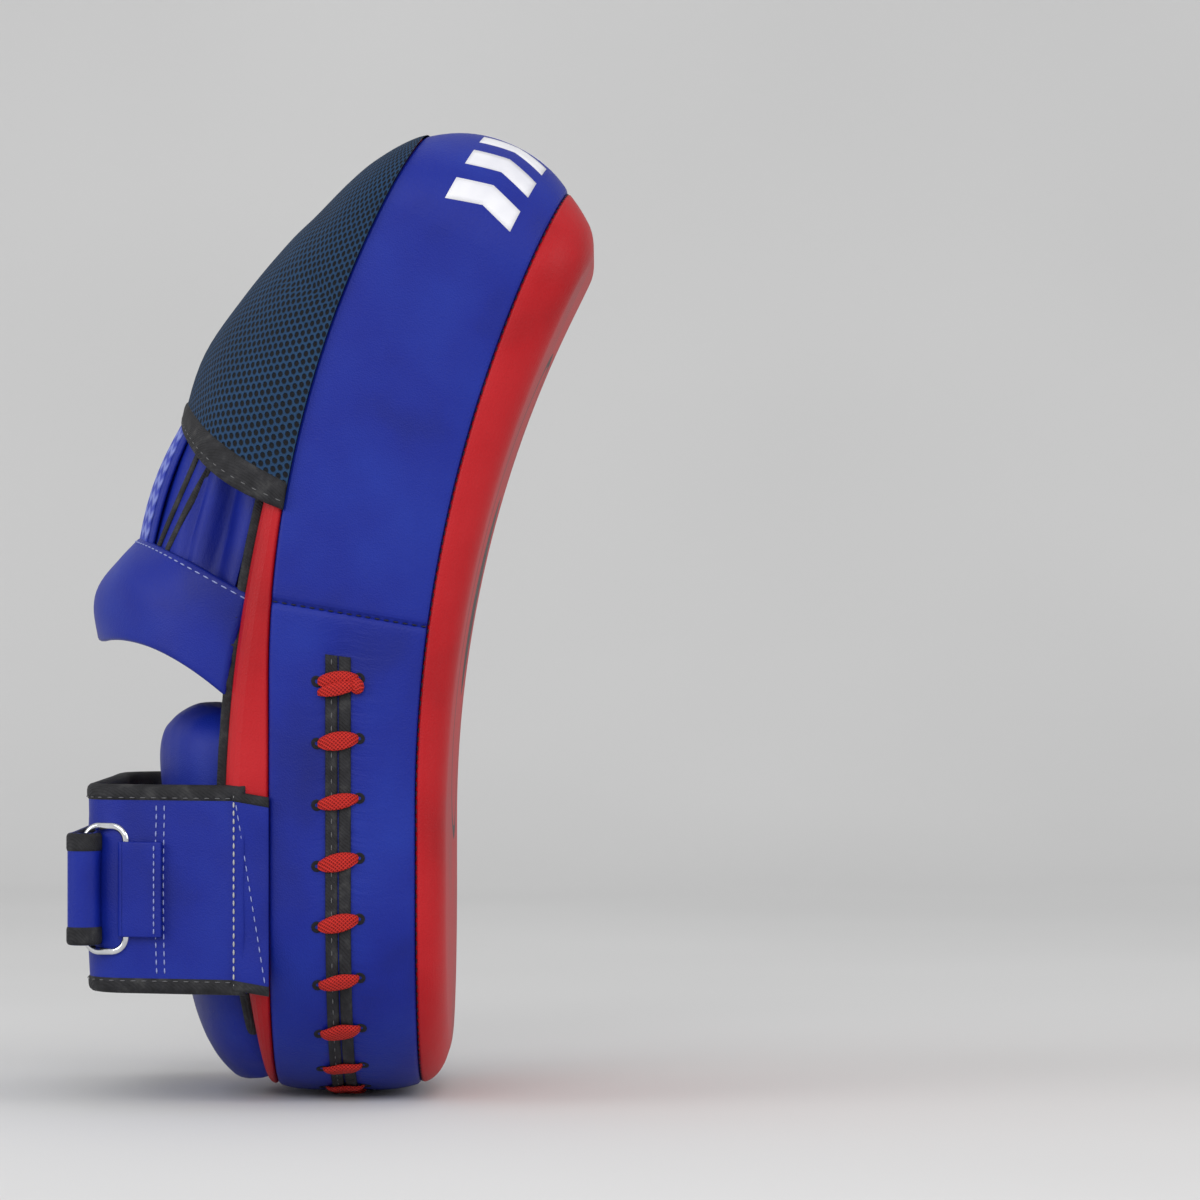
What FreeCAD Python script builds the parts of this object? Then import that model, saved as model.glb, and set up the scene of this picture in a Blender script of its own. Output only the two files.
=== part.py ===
import FreeCAD, Part

import math
import os

V = FreeCAD.Vector
os.makedirs("parts", exist_ok=True)

# One curved thai pad for the left hand of a pair. It stands on its rounded lower end.
# +Z runs up the length, +X out of the striking face, and the buckle side faces -Y.
# Every solid is written at its place on the finished pad, in millimetres.

# ---- padded body ----
pad_top = 390.0  # highest point of the body above the floor
pad_width = 190.0  # side to side, along Y
pad_thickness = 88.0  # striking face to rear face
face_x = 51.0  # striking face on the straight lower part
bend_start = 110.0  # height where the face starts to curve forward
face_radius = 485.0  # hollow curve of the striking face
crown_radius = 60.0  # rounded top end, centred half way through the thickness
top_corner = 45.0  # corner radii of the outline, seen from the front
bottom_corner = 80.0
top_tilt = 12.0  # degrees by which the top end dips towards the front
base_front = 23.0  # flat strip that the pad stands on, front and rear ends
base_rear = -6.0
base_radius = 85.0  # the lower end rises either side of that strip
front_rim = 14.0  # rounding of the long edges
rear_rim = 8.0
heel_set_in = 14.0  # the rear face comes forward this much towards the floor
top_rim = 22.0  # rounding at the front of the top end

# ---- cover ----
skin = 2.0  # leather with its backing cloth
front_seam_x = 39.4  # seam between side band and striking face
front_seam_start = 120.0
front_seam_radius = 540.0
rear_seam_ahead = 17.5  # seam between side band and rear face, ahead of the rear face
rear_seam_start = 172.0
rear_seam_radius = 420.0
cross_seam_height = 197.0  # joins the upper and lower side bands
cross_seam_tilt = 8.3
impact_foam_depth = 26.0  # soft layer behind the striking face
backing_foam_depth = 16.0  # firm layer in front of the rear face

# ---- laced opening round the lower end ----
lace_x = 8.5
lace_top = 181.0  # upper end of the opening on both sides
lace_diameter = 2.8
lace_gap = 0.1  # between lace and whatever it passes
lace_crossings = 20
lace_margin = 9.4  # from an end of the opening to the first crossing
lace_slant = 1.5  # rise of each crossing on either side of its middle
lace_bend = 2.0
binding_width = 4.9  # one bound edge of the opening
binding_gap = 0.4
binding_proud = 0.5
binding_depth = 2.6
lace_hole_gap = 0.3  # round the lace in its holes
lace_hole_margin = 1.0  # from a hole to the bound edge
channel_margin = 1.0  # room left beside and behind the lace under the cover
channel_over = 3.0  # the room goes on past the upper end of the opening

# ---- values worked out from the sizes above ----
lace_hole_radius = lace_diameter / 2 + lace_hole_gap
lace_hole_offset = binding_gap / 2 + binding_width + lace_hole_margin + lace_hole_radius
channel_half_width = lace_hole_offset + lace_hole_radius + channel_margin
channel_depth = skin + 2 * lace_gap + lace_diameter + channel_margin
half = pad_width / 2
bend_x = face_x + face_radius
rear_x = face_x - pad_thickness
rear_radius = face_radius + pad_thickness
rear_seam_x = rear_x + rear_seam_ahead
lace_proud = binding_proud + lace_gap + lace_diameter
body_bottom = lace_proud
crown_z = pad_top - crown_radius
crown_depth_radius = face_radius + pad_thickness / 2
crown_x = bend_x - math.sqrt(crown_depth_radius**2 - (crown_z - bend_start) ** 2)
far = pad_top + pad_width  # reach of the cutting solids, past every part of the pad
cut_over = 20.0  # how far they start outside what they cut
sweep_turn = 50.0  # degrees of bend that the cross-section is swept through, past the top end

# ---- hand compartment: arches over the rear face ----
arch_half_width = half - 14
hood_half_width = half - 4
hood_wall = 3.0
hood_open_height = 247.0  # where the hood's open edge meets the rear seam
hood_top_gap = 14.0  # from the hood's upper end to the top of the pad
hood_sewn_in = 2.0  # the hood's edge ahead of the rear seam
hood_binding_length = 7.0
hood_binding_wall = 4.4
finger_band_wall = 4.0
finger_panel_wall = 2.4
finger_strap_wall = 2.4
tape_wall = 0.8
tape_margin = 4.0  # strap showing either side of its tape
lay_gap = 0.3  # between leather layers that lie on each other without stitching
finger_panel_arch = half - 19
finger_panel_half_width = half - 29
finger_strap_half_width = 27.0
gusset_wall = 2.2
gusset_y = half - 25
palm_bar_radius = 14.0
palm_bar_share = 0.763  # of the arch of the panel over it, so that it stays clear
palm_bar_length = 2 * palm_bar_share * finger_panel_arch
palm_bar_height = 205.0
palm_bar_sunk = 4.0  # the roll is flattened against the rear face by this much
palm_bar_cover_wall = 2.0
piping_radius = 1.3
piping_y = half - 11
piping_top = 236.0
piping_split = 158.0  # the finger piping stops here, above the wrist cushion
piping_turn = 40.0  # degrees that the wrist piping follows round the lower corner

# ---- wrist cushion ----
cushion_wall = 2.0
cushion_half_width = half - 15

# ---- cuff, ring and closing strap ----
cuff_middle = 88.0  # height of the strap's middle line
cuff_height = 82.0
cuff_wall = 4.0
cuff_rear_x = rear_x - 54
cuff_half_width_front = half - 1.5
cuff_half_width_rear = half - 19
cuff_front_x = rear_x + 6
cuff_corner = 20.0
cuff_binding = 7.0
cuff_binding_proud = 0.6
anchor_wall = 2.0
anchor_length = 9.5
ring_wire = 3.0
ring_width = 17.0  # between the middles of the long bars
ring_corner = 6.0
ring_bar_ahead = 15.1  # the bar held in the keeper, ahead of the back of the cuff
keeper_wall = 1.4
keeper_gap = 0.3
keeper_lap = 0.6  # share of the loop that its tail laps
keeper_tail = 9.0
keeper_end_gap = 1.0  # from the keeper's ends to the ring's round corners
strap_width = 45.0
strap_wall = 3.0
ring_strap_gap = 1.0  # between an edge of the strap and the ring
ring_length = strap_width + 2 * ring_strap_gap + ring_wire  # between the middles of the short sides
strap_bend_gap = 1.8  # slack of the strap round the ring's outer bar
strap_flat_start = 15.0  # the strap lies flat on the cuff from here, inside its corner
strap_lean = 4.0
strap_far_y = half - 29
flap_end_y = 26.0
flap_tape_start_y = -44.0
tape_side_margin = 3.5  # strap showing either side of its tapes
tape_width = strap_width - 2 * tape_side_margin
loop_tape_margin = 12.0  # strap left bare beyond the loop tape
hook_tape_margin = 3.0
tape_gap = 0.05  # between hook and loop tape, and behind each


nodes = {}


def save(shape, node):
    """Keeps a finished solid under its node's name, to be written at the end."""
    nodes[node] = shape


def rear_face_x(z):
    """Rear face of the body at a height."""
    if z <= bend_start:
        return rear_x + heel_set_in * (bend_start - z) / (bend_start - body_bottom)
    return bend_x - math.sqrt(rear_radius**2 - (z - bend_start) ** 2)


def rear_seam_at(z):
    """Seam between side band and rear face at a height."""
    rise = z - rear_seam_start
    return rear_seam_x + rear_seam_radius - math.sqrt(rear_seam_radius**2 - rise**2)


def foot(z, ahead):
    """Point of the side view a little ahead of the rear face, inside the body."""
    return rear_face_x(z) + ahead, z


def line(a, b):
    return Part.LineSegment(V(*a), V(*b)).toShape()


def side_arc(centre, radius, start, end):
    """Arc in the XZ plane about centre from point start to point end, the short way."""
    a = math.atan2(start[1] - centre[1], start[0] - centre[0])
    b = math.atan2(end[1] - centre[1], end[0] - centre[0])
    b += 2 * math.pi * round((a - b) / (2 * math.pi))

    def at(angle):
        return V(centre[0] + radius * math.cos(angle), 0, centre[1] + radius * math.sin(angle))

    return Part.Arc(at(a), at((a + b) / 2), at(b)).toShape()


def side_line(a, b):
    return line((a[0], 0, a[1]), (b[0], 0, b[1]))


def across(wire, half_width):
    """Closed wire in the XZ plane made solid from -half_width to +half_width in Y."""
    face = Part.Face(wire)
    face.translate(V(0, -half_width, 0))
    return face.extrude(V(0, 2 * half_width, 0))


def circles_meet(ax, az, ar, bx, bz, br):
    """Upper point where two circles of the side view meet."""
    dx, dz = bx - ax, bz - az
    apart = math.hypot(dx, dz)
    along = (ar**2 - br**2 + apart**2) / (2 * apart)
    off = math.sqrt(ar**2 - along**2)
    points = [
        (ax + (along * dx - s * off * dz) / apart, az + (along * dz + s * off * dx) / apart)
        for s in (1, -1)
    ]
    return max(points, key=lambda p: p[1])


def side_profile(inset):
    """Outline of the body seen from the side, moved inwards by inset."""
    bend = (bend_x, bend_start)
    crown = (crown_x, crown_z)
    front_r, rear_r, crown_r = face_radius + inset, rear_radius - inset, crown_radius - inset
    base_r, base_z = base_radius - inset, body_bottom + inset
    front_base = (base_front, body_bottom + base_radius)
    rear_base = (base_rear, body_bottom + base_radius)
    front, rear = face_x - inset, rear_x + inset
    foot = [(base_rear, base_z), (base_front, base_z)]
    toe = (front, front_base[1] - math.sqrt(base_r**2 - (front - base_front) ** 2))
    set_in = rear + heel_set_in
    heel = (set_in, rear_base[1] - math.sqrt(base_r**2 - (set_in - base_rear) ** 2))
    brow = circles_meet(*bend, front_r, *crown, crown_r)
    nape = circles_meet(*bend, rear_r, *crown, crown_r)
    return Part.Wire(
        [
            side_line(foot[0], foot[1]),
            side_arc(front_base, base_r, foot[1], toe),
            side_line(toe, (front, bend_start)),
            side_arc(bend, front_r, (front, bend_start), brow),
            side_arc(crown, crown_r, brow, nape),
            side_arc(bend, rear_r, nape, (rear, bend_start)),
            side_line((rear, bend_start), heel),
            side_arc(rear_base, base_r, heel, foot[0]),
        ]
    )


def round_cross_edges(solid, radii):
    """Rounds the edges that run along Y nearest to each (x, z), with its radius."""
    for x, z, radius in radii:
        edges = [e for e in solid.Edges if e.BoundBox.XLength < 1e-6 and e.BoundBox.ZLength < 1e-6]
        nearest = min(edges, key=lambda e: math.hypot(e.BoundBox.XMin - x, e.BoundBox.ZMin - z))
        solid = solid.makeFillet(radius, [nearest])
    return solid


def outline_prism(inset, top, bottom, radius_top, radius_bottom):
    """Rounded rectangle seen from the front, along X through the whole pad."""
    y = half - inset
    box = Part.makeBox(2 * far, 2 * y, top - bottom, V(-far, -y, bottom))
    for z, radius in ((top, radius_top), (bottom, radius_bottom)):
        if radius:
            edges = [
                e
                for e in box.Edges
                if e.BoundBox.XLength > far and abs(e.BoundBox.ZMin - z) < 1e-6
            ]
            box = box.makeFillet(radius, edges)
    return box


def swept_section(inset):
    """The pad's rounded cross-section, straight at the bottom and swept up round the bend."""
    y = half - inset
    front, rear = face_x - inset, rear_x + inset
    block = Part.makeBox(front - rear, 2 * y, bend_start + cut_over, V(rear, -y, -cut_over))
    edges = [e for e in block.Edges if e.BoundBox.ZLength > 1]
    block = block.makeFillet(front_rim - inset, [e for e in edges if e.BoundBox.XMin > front - 1])
    edges = [e for e in block.Edges if e.BoundBox.ZLength > 1 and abs(e.BoundBox.YMin) > y - 1e-6]
    edges = [e for e in edges if e.BoundBox.XMax < rear + 1]
    block = block.makeFillet(rear_rim - inset, edges)
    section = max(block.Faces, key=lambda f: f.CenterOfMass.z)
    upper = section.revolve(V(bend_x, 0, bend_start), V(0, 1, 0), sweep_turn)
    return block.fuse(upper).removeSplitter()


def body(inset):
    """The padded body, moved inwards by inset on every side."""
    prism = across(side_profile(inset), half - inset)
    brow = circles_meet(bend_x, bend_start, face_radius + inset, crown_x, crown_z, crown_radius - inset)
    prism = round_cross_edges(
        prism, [(*brow, top_rim - inset), (face_x - inset, body_bottom, front_rim - inset)]
    )
    lower = outline_prism(inset, pad_top + far, body_bottom + inset, 0, bottom_corner - inset)
    upper = outline_prism(inset, crown_radius - inset, -far, top_corner - inset, 0)
    upper.rotate(V(0, 0, 0), V(0, 1, 0), top_tilt)
    upper.translate(V(crown_x, 0, crown_z))
    return swept_section(inset).common(prism).common(lower).common(upper)


def curve_region(front, rear):
    """Everything between two side-view curves (x, start height, radius), right through in Y."""

    def edges(curve, low, high):
        x, start, radius = curve
        top = x + radius - math.sqrt(radius**2 - (high - start) ** 2)
        return (x, low), (x, start), (top, high), (x + radius, start), radius

    low, high = -cut_over, pad_top + cut_over
    f_low, f_start, f_top, f_centre, f_radius = edges(front, low, high)
    r_low, r_start, r_top, r_centre, r_radius = edges(rear, low, high)
    wire = Part.Wire(
        [
            side_line(f_low, f_start),
            side_arc(f_centre, f_radius, f_start, f_top),
            side_line(f_top, r_top),
            side_arc(r_centre, r_radius, r_top, r_start),
            side_line(r_start, r_low),
            side_line(r_low, f_low),
        ]
    )
    return across(wire, far)


def face_curve(depth):
    """Side-view curve that follows the striking face at a depth behind it."""
    return (face_x - depth, bend_start, face_radius + depth)


front_seam = (front_seam_x, front_seam_start, front_seam_radius)
rear_seam = (rear_seam_x, rear_seam_start, rear_seam_radius)
ahead = face_curve(-cut_over)
behind = face_curve(pad_thickness + cut_over)


# ---- laced opening ----
def opening_point(along, out):
    """Point of the opening's middle line: along from its upper end on the -Y side, out from the body.

    Returns (y, z) and the outward direction (y, z) and the running direction (y, z).
    """
    straight = lace_top - body_bottom - bottom_corner
    quarter = math.pi / 2 * bottom_corner
    flat = 2 * (half - bottom_corner)
    if along <= straight:
        at, n, t = (-half, lace_top - along), (-1, 0), (0, -1)
    elif along <= straight + quarter:
        a = (along - straight) / bottom_corner
        n, t = (-math.cos(a), -math.sin(a)), (math.sin(a), -math.cos(a))
        at = (
            bottom_corner - half + n[0] * bottom_corner,
            body_bottom + bottom_corner + n[1] * bottom_corner,
        )
    elif along <= straight + quarter + flat:
        at, n, t = (along - straight - quarter + bottom_corner - half, body_bottom), (0, -1), (1, 0)
    else:
        rest = 2 * (straight + quarter) + flat - along
        (y, z), (ny, nz), (ty, tz) = opening_point(rest, 0)
        at, n, t = (-y, z), (-ny, nz), (ty, -tz)
    return (at[0] + n[0] * out, at[1] + n[1] * out), n, t


def opening_length():
    straight = lace_top - body_bottom - bottom_corner
    return 2 * (straight + math.pi / 2 * bottom_corner) + 2 * (half - bottom_corner)


def opening_strip(x_low, x_high, out, inwards, top):
    """Solid that follows the body's lower outline from x_low to x_high, up to height top."""

    def u_shape(offset):
        y, z = half + offset, body_bottom - offset
        radius = bottom_corner + offset
        box = Part.makeBox(x_high - x_low, 2 * y, top - z, V(x_low, -y, z))
        low = [
            e for e in box.Edges if e.BoundBox.XLength > 1e-3 and abs(e.BoundBox.ZMax - z) < 1e-6
        ]
        return box.makeFillet(radius, low)

    return u_shape(out).cut(u_shape(-inwards))


def crossing_places():
    span = opening_length() - 2 * lace_margin
    return [lace_margin + i * span / (lace_crossings - 1) for i in range(lace_crossings)]


def lace_points():
    """Corners of the lace's route: over the opening, in through a hole, back behind the cover."""
    over = binding_proud + lace_gap + lace_diameter / 2
    under = -skin - lace_gap - lace_diameter / 2
    route = []
    for along in crossing_places():
        for side in (-1, 1):
            place = along + side * lace_slant
            x = lace_x + side * lace_hole_offset
            for out in (under, over)[::-side]:
                (y, z), _, _ = opening_point(place, out)
                route.append(V(x, y, z))
    return route


def rounded_route(points, radius):
    """Straight runs joined by tangent arcs of one radius."""
    edges, last = [], points[0]
    for before, corner, after in zip(points, points[1:], points[2:]):
        a, b = (before - corner).normalize(), (after - corner).normalize()
        turn = math.pi - a.getAngle(b)
        trim = radius * math.tan(turn / 2)
        start, end = corner + a * trim, corner + b * trim
        inward = (a + b).normalize()
        middle = corner + inward * (radius / math.cos(turn / 2) - radius)
        edges.append(Part.LineSegment(last, start).toShape())
        edges.append(Part.Arc(start, middle, end).toShape())
        last = end
    edges.append(Part.LineSegment(last, points[-1]).toShape())
    return edges


def make_lace():
    edges = rounded_route(lace_points(), lace_bend)
    start = edges[0].Vertexes[0].Point
    direction = edges[0].tangentAt(edges[0].FirstParameter)
    ring = Part.Wire([Part.Circle(start, direction, lace_diameter / 2).toShape()])
    return Part.Wire(edges).makePipeShell([ring], True, False)


def lace_holes():
    """Round holes through the cover where the lace goes in and out."""
    holes = []
    for along in crossing_places():
        for side in (-1, 1):
            (y, z), n, _ = opening_point(along + side * lace_slant, -cut_over)
            x = lace_x + side * lace_hole_offset
            holes.append(Part.makeCylinder(lace_hole_radius, 2 * cut_over, V(x, y, z), V(0, n[0], n[1])))
    return Part.makeCompound(holes)


# ---- arches of the hand compartment ----
def direction(angle):
    a = math.radians(angle)
    return V(math.cos(a), 0, math.sin(a))


def arch_wire(base, angle, half_width, height):
    """Half ellipse standing on a line along Y through base, pointing along angle in the side view."""
    up = direction(angle)
    foot = V(base[0], 0, base[1])
    across_y = V(0, half_width, 0)
    steps = [math.pi * i / 12 for i in range(13)]
    curve = Part.BSplineCurve()
    curve.interpolate([foot + across_y * math.cos(a) + up * height * math.sin(a) for a in steps])
    return Part.Wire([curve.toShape(), Part.LineSegment(foot - across_y, foot + across_y).toShape()])


def arch_solid(sections, smaller=0.0):
    """Solid through arch sections (base, angle, half width, height), each reduced by smaller."""
    wires = [arch_wire(b, a, w - smaller, h - smaller) for b, a, w, h in sections]
    return Part.makeLoft(wires, True, len(wires) < 4)


def arch_shell(sections, wall):
    return arch_solid(sections).cut(arch_solid(sections, wall))


def side_box(y_low, y_high):
    return Part.makeBox(2 * far, y_high - y_low, 3 * far, V(-far, y_low, -far))


# Each section: foot (x, z), direction in degrees, half width, height.
def hood_section(share, angle, half_width, height):
    """Section of the hood with its foot on the rear seam, a share of the way up from its open edge."""
    z = hood_open_height + share * (pad_top - hood_top_gap - hood_open_height)
    return (rear_seam_at(z) + hood_sewn_in, z), angle, half_width, height


hood_sections = [
    hood_section(0, 140.8, hood_half_width, 60),
    hood_section(0.194, 144, hood_half_width, 58),
    hood_section(0.434, 146, hood_half_width, 48),
    hood_section(0.628, 139, hood_half_width, 36),
    hood_section(0.798, 122, hood_half_width - 5, 26),
    hood_section(0.93, 108, hood_half_width - 17, 19),
    hood_section(1, 98, hood_half_width - 40, 12),
]
band_sections = [
    (foot(204, 1.2), 155, arch_half_width, 50),
    (foot(185, 1.0), 158, arch_half_width, 62.5),
    (foot(166, 1.0), 159, arch_half_width, 62),
]
panel_sections = [
    (foot(199, 2.0), 155, finger_panel_arch, 45),
    (foot(254, 6.6), 144, finger_panel_arch, 43.5),
]
strap_sections = [
    (foot(194, 0.0), 156, arch_half_width, 60),
    (foot(210, 2.1), 154, arch_half_width, 54),
    (foot(254, 4.6), 144, arch_half_width, 47),
]
cushion_sections = [
    (foot(156, 7.2), 172, cushion_half_width - 12, 28),
    (foot(147, 5.0), 178, cushion_half_width, 40),
    (foot(118, 5.0), 180, cushion_half_width, 38),
    (foot(76, 5.0), 180, cushion_half_width, 37),
    (foot(40, 4.6), 182, cushion_half_width - 8, 34),
    (foot(22, 7.3), 188, cushion_half_width - 22, 33),
    (foot(12, 9.9), 196, cushion_half_width - 36, 26),
]
gusset_corners = [foot(246, 6.6), foot(207, 2.6), foot(219, -29.6), foot(262, -27.3)]


def hood_edge(outside):
    """The hood's first section and its free edge, both standing outside it."""
    (x, z), angle, width, height = hood_sections[0]
    ahead, along = hood_sections[1][0][0] - x, hood_sections[1][0][1] - z
    share = hood_binding_length / math.hypot(ahead, along)
    width, height = width + outside, height + outside
    free = (x - ahead * share, z - along * share)
    return [(free, angle, width, height), ((x, z), angle, width, height)]


def finger_piping(side):
    """Round piping on the edge of the rear face, up round its bend."""
    radius = rear_radius + piping_radius
    low, high = (
        math.degrees(math.asin((z - bend_start) / radius)) for z in (piping_split, piping_top)
    )
    centre, axis = V(bend_x, 0, bend_start), V(0, 1, 0)
    foot = V(rear_x - piping_radius, side * piping_y, bend_start)
    disc = Part.Face(Part.Wire([Part.Circle(foot, V(0, 0, 1), piping_radius).toShape()]))
    disc.rotate(centre, axis, low)
    return disc.revolve(centre, axis, high - low)


def wrist_piping(side):
    """Round piping down the straight rear face and round the corner of the lower end."""
    x = rear_x - piping_radius
    turn_z = body_bottom + bottom_corner
    turn_y = side * (half - bottom_corner)
    foot = V(x, side * piping_y, turn_z)
    disc = Part.Face(Part.Wire([Part.Circle(foot, V(0, 0, 1), piping_radius).toShape()]))
    corner = disc.revolve(V(x, turn_y, turn_z), V(-side, 0, 0), piping_turn)
    return disc.extrude(V(0, 0, bend_start - turn_z)).fuse(corner).removeSplitter()


# ---- cuff ----
def cuff_loop(offset, low, high):
    """The cuff's inside space grown by offset, as a solid between two heights."""
    slope = (cuff_half_width_front - cuff_half_width_rear) / (cuff_front_x - cuff_rear_x)
    grow = offset * math.hypot(1, slope)
    x = cuff_rear_x - offset
    rear = cuff_half_width_rear + grow - slope * offset
    front = cuff_half_width_front + grow
    reach = cuff_front_x + cut_over
    front_reach = front + slope * cut_over
    points = [(reach, -front_reach), (x, -rear), (x, rear), (reach, front_reach)]
    corners = [V(px, py, low) for px, py in points]
    prism = Part.Face(Part.makePolygon(corners + corners[:1])).extrude(V(0, 0, high - low))
    edges = [e for e in prism.Edges if e.BoundBox.ZLength > 1e-3 and e.BoundBox.XMax < x + 1]
    return prism.makeFillet(cuff_corner + offset, edges)


def cuff_ring(outer, inner, low, high):
    """Wall of the cuff between two offsets and two heights, from pad to pad."""
    loop = cuff_loop(outer, low, high).cut(cuff_loop(inner, low, high))
    room = Part.makeBox(far, 2 * far, far, V(cuff_front_x - far, -far, -cut_over))
    return loop.common(room)


def panel_direction():
    """Unit vector along the buckle-side panel of the cuff, towards the ring."""
    v = V(cuff_rear_x - cuff_front_x, cuff_half_width_front - cuff_half_width_rear, 0)
    return v.normalize()


def panel_point(x, out):
    """Point at an x on the buckle-side panel, out from its outer face, at the strap's middle."""
    d = panel_direction()
    normal = V(-abs(d.y), -abs(d.x), 0)
    y = -cuff_half_width_front + d.y / d.x * (x - cuff_front_x)
    return V(x, y, cuff_middle) + normal * out


def make_ring():
    """Rounded rectangle of wire, standing on the cuff with one long bar in the keeper."""
    d = panel_direction()
    out = keeper_wall + keeper_gap + ring_wire / 2
    bar = panel_point(cuff_rear_x + ring_bar_ahead, out)
    up = V(0, 0, 1)
    corners = [
        bar + up * (ring_length / 2),
        bar + d * ring_width + up * (ring_length / 2),
        bar + d * ring_width - up * (ring_length / 2),
        bar - up * (ring_length / 2),
    ]
    points = [bar, *corners, bar]
    edges = rounded_route(points, ring_corner)
    section = Part.Wire([Part.Circle(bar, up, ring_wire / 2).toShape()])
    return Part.Wire(edges).makePipeShell([section], True, True), bar, bar + d * ring_width


def plate(points, low, high):
    """Flat outline in the XY plane made solid between two heights."""
    corners = [V(p.x, p.y, low) for p in points]
    return Part.Face(Part.makePolygon(corners + corners[:1])).extrude(V(0, 0, high - low))


def make_keeper(bar):
    """Leather loop round the ring's inner bar, with a tail sewn to the cuff."""
    d = panel_direction()
    reach = ring_length / 2 - ring_corner - keeper_end_gap
    low, high = cuff_middle - reach, cuff_middle + reach
    inner = ring_wire / 2 + keeper_gap
    outer = inner + keeper_wall
    tube = Part.makeCylinder(outer, high - low, V(bar.x, bar.y, low), V(0, 0, 1))
    normal = V(-abs(d.y), -abs(d.x), 0)
    tail = [
        bar - normal * outer,
        bar - normal * outer - d * keeper_tail,
        bar - normal * (outer - keeper_wall) - d * keeper_tail,
        bar + normal * outer * keeper_lap - d * inner,
    ]
    loop = tube.fuse(plate(tail, low, high))
    return loop.cut(Part.makeCylinder(inner, high - low, V(bar.x, bar.y, low), V(0, 0, 1)))


def strap_slab(x_in, wall, y_low, y_high, width=strap_width):
    """Flat length of strap on the back of the cuff."""
    return Part.makeBox(
        wall, y_high - y_low, width, V(x_in - wall, y_low, cuff_middle - width / 2)
    )


def make_strap_turn(outer_bar):
    """Where the closing strap goes round the ring's outer bar and comes back."""
    low = cuff_middle - strap_width / 2
    inner = ring_wire / 2 + strap_bend_gap
    outer = inner + strap_wall
    wrap = Part.makeCylinder(outer, strap_width, V(outer_bar.x, outer_bar.y, low), V(0, 0, 1))
    corner = V(outer_bar.x - 2 * outer, outer_bar.y - 2 * outer, low)
    wrap = wrap.common(Part.makeBox(4 * outer, 2 * outer, strap_width, corner))
    lean_y = strap_flat_start - cuff_half_width_rear
    run = [
        V(outer_bar.x + outer, outer_bar.y, 0),
        V(cuff_rear_x, lean_y - strap_lean, 0),
        V(cuff_rear_x, lean_y, 0),
        V(cuff_rear_x - strap_wall, lean_y, 0),
        V(cuff_rear_x - strap_wall, lean_y - strap_lean, 0),
        V(outer_bar.x + inner, outer_bar.y, 0),
    ]
    turn = wrap.fuse(plate(run, low, low + strap_width))
    hole = Part.makeCylinder(inner, strap_width, V(outer_bar.x, outer_bar.y, low), V(0, 0, 1))
    return turn.cut(hole).removeSplitter(), lean_y


# ---- build and write ----
outer_body = body(0)
inner_body = body(skin)
cover = outer_body.cut(inner_body)
between = curve_region(front_seam, rear_seam)
slot_cut = opening_strip(
    lace_x - binding_width - binding_gap / 2,
    lace_x + binding_width + binding_gap / 2,
    binding_proud + 1,
    binding_depth - binding_proud,
    lace_top,
)
channel = opening_strip(
    lace_x - channel_half_width,
    lace_x + channel_half_width,
    lace_proud,
    channel_depth,
    lace_top + channel_over,
)
lace = make_lace()

save(cover.common(curve_region(ahead, front_seam)), "front_skin")
save(cover.common(curve_region(rear_seam, behind)), "rear_skin")
band = cover.common(between)
upper_half = Part.makeBox(2 * far, 2 * far, far, V(-far, -far, 0))
upper_half.rotate(V(0, 0, 0), V(0, 1, 0), cross_seam_tilt)
upper_half.translate(V((front_seam_x + rear_seam_x) / 2, 0, cross_seam_height))
save(band.common(upper_half), "side_band_upper")
save(band.cut(upper_half).cut(slot_cut).cut(lace_holes()), "side_band_lower")

foam = inner_body.cut(channel).cut(slot_cut)
save(foam.common(curve_region(ahead, face_curve(impact_foam_depth))), "impact_foam")
middle = curve_region(face_curve(impact_foam_depth), face_curve(pad_thickness - backing_foam_depth))
save(foam.common(middle), "core_foam")
save(foam.common(curve_region(face_curve(pad_thickness - backing_foam_depth), behind)), "backing_foam")

for name, x_low in (
    ("opening_binding_rear", lace_x - binding_gap / 2 - binding_width),
    ("opening_binding_front", lace_x + binding_gap / 2),
):
    strip = opening_strip(
        x_low, x_low + binding_width, binding_proud, binding_depth - binding_proud, lace_top
    )
    save(strip, name)
save(lace, "lace")

save(arch_shell(hood_sections, hood_wall).cut(outer_body), "hood")
hood_rim = arch_shell(hood_edge((hood_binding_wall - hood_wall) / 2), hood_binding_wall)
save(hood_rim.cut(outer_body), "hood_binding")

finger_band = arch_shell(band_sections, finger_band_wall).cut(outer_body)
pipings = []
for side, word in ((-1, "near"), (1, "far")):
    for name, shape in (("finger_piping_", finger_piping(side)), ("wrist_piping_", wrist_piping(side))):
        pipings.append(shape)
        save(shape.cut(outer_body), name + word)
all_piping = Part.makeCompound(pipings)
save(finger_band, "finger_band")
panel = arch_shell(panel_sections, finger_panel_wall)
panel = panel.common(side_box(-finger_panel_half_width, finger_panel_half_width))
save(panel.cut(outer_body), "finger_panel")
strap = arch_shell(strap_sections, finger_strap_wall)
save(strap.common(side_box(-finger_strap_half_width, finger_strap_half_width)), "finger_strap")
tape = [(b, a, w, h + tape_wall) for b, a, w, h in strap_sections]
tape = arch_solid(tape).cut(arch_solid(strap_sections))
tape_half = finger_strap_half_width - tape_margin
save(tape.common(side_box(-tape_half, tape_half)), "finger_strap_tape")
gusset_outline = Part.makePolygon([V(x, 0, z) for x, z in gusset_corners + gusset_corners[:1]])
for side, word in ((-1, "near"), (1, "far")):
    gusset = Part.Face(gusset_outline)
    gusset.translate(V(0, side * gusset_y - gusset_wall / 2, 0))
    save(gusset.extrude(V(0, gusset_wall, 0)).cut(outer_body), "finger_gusset_" + word)

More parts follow.
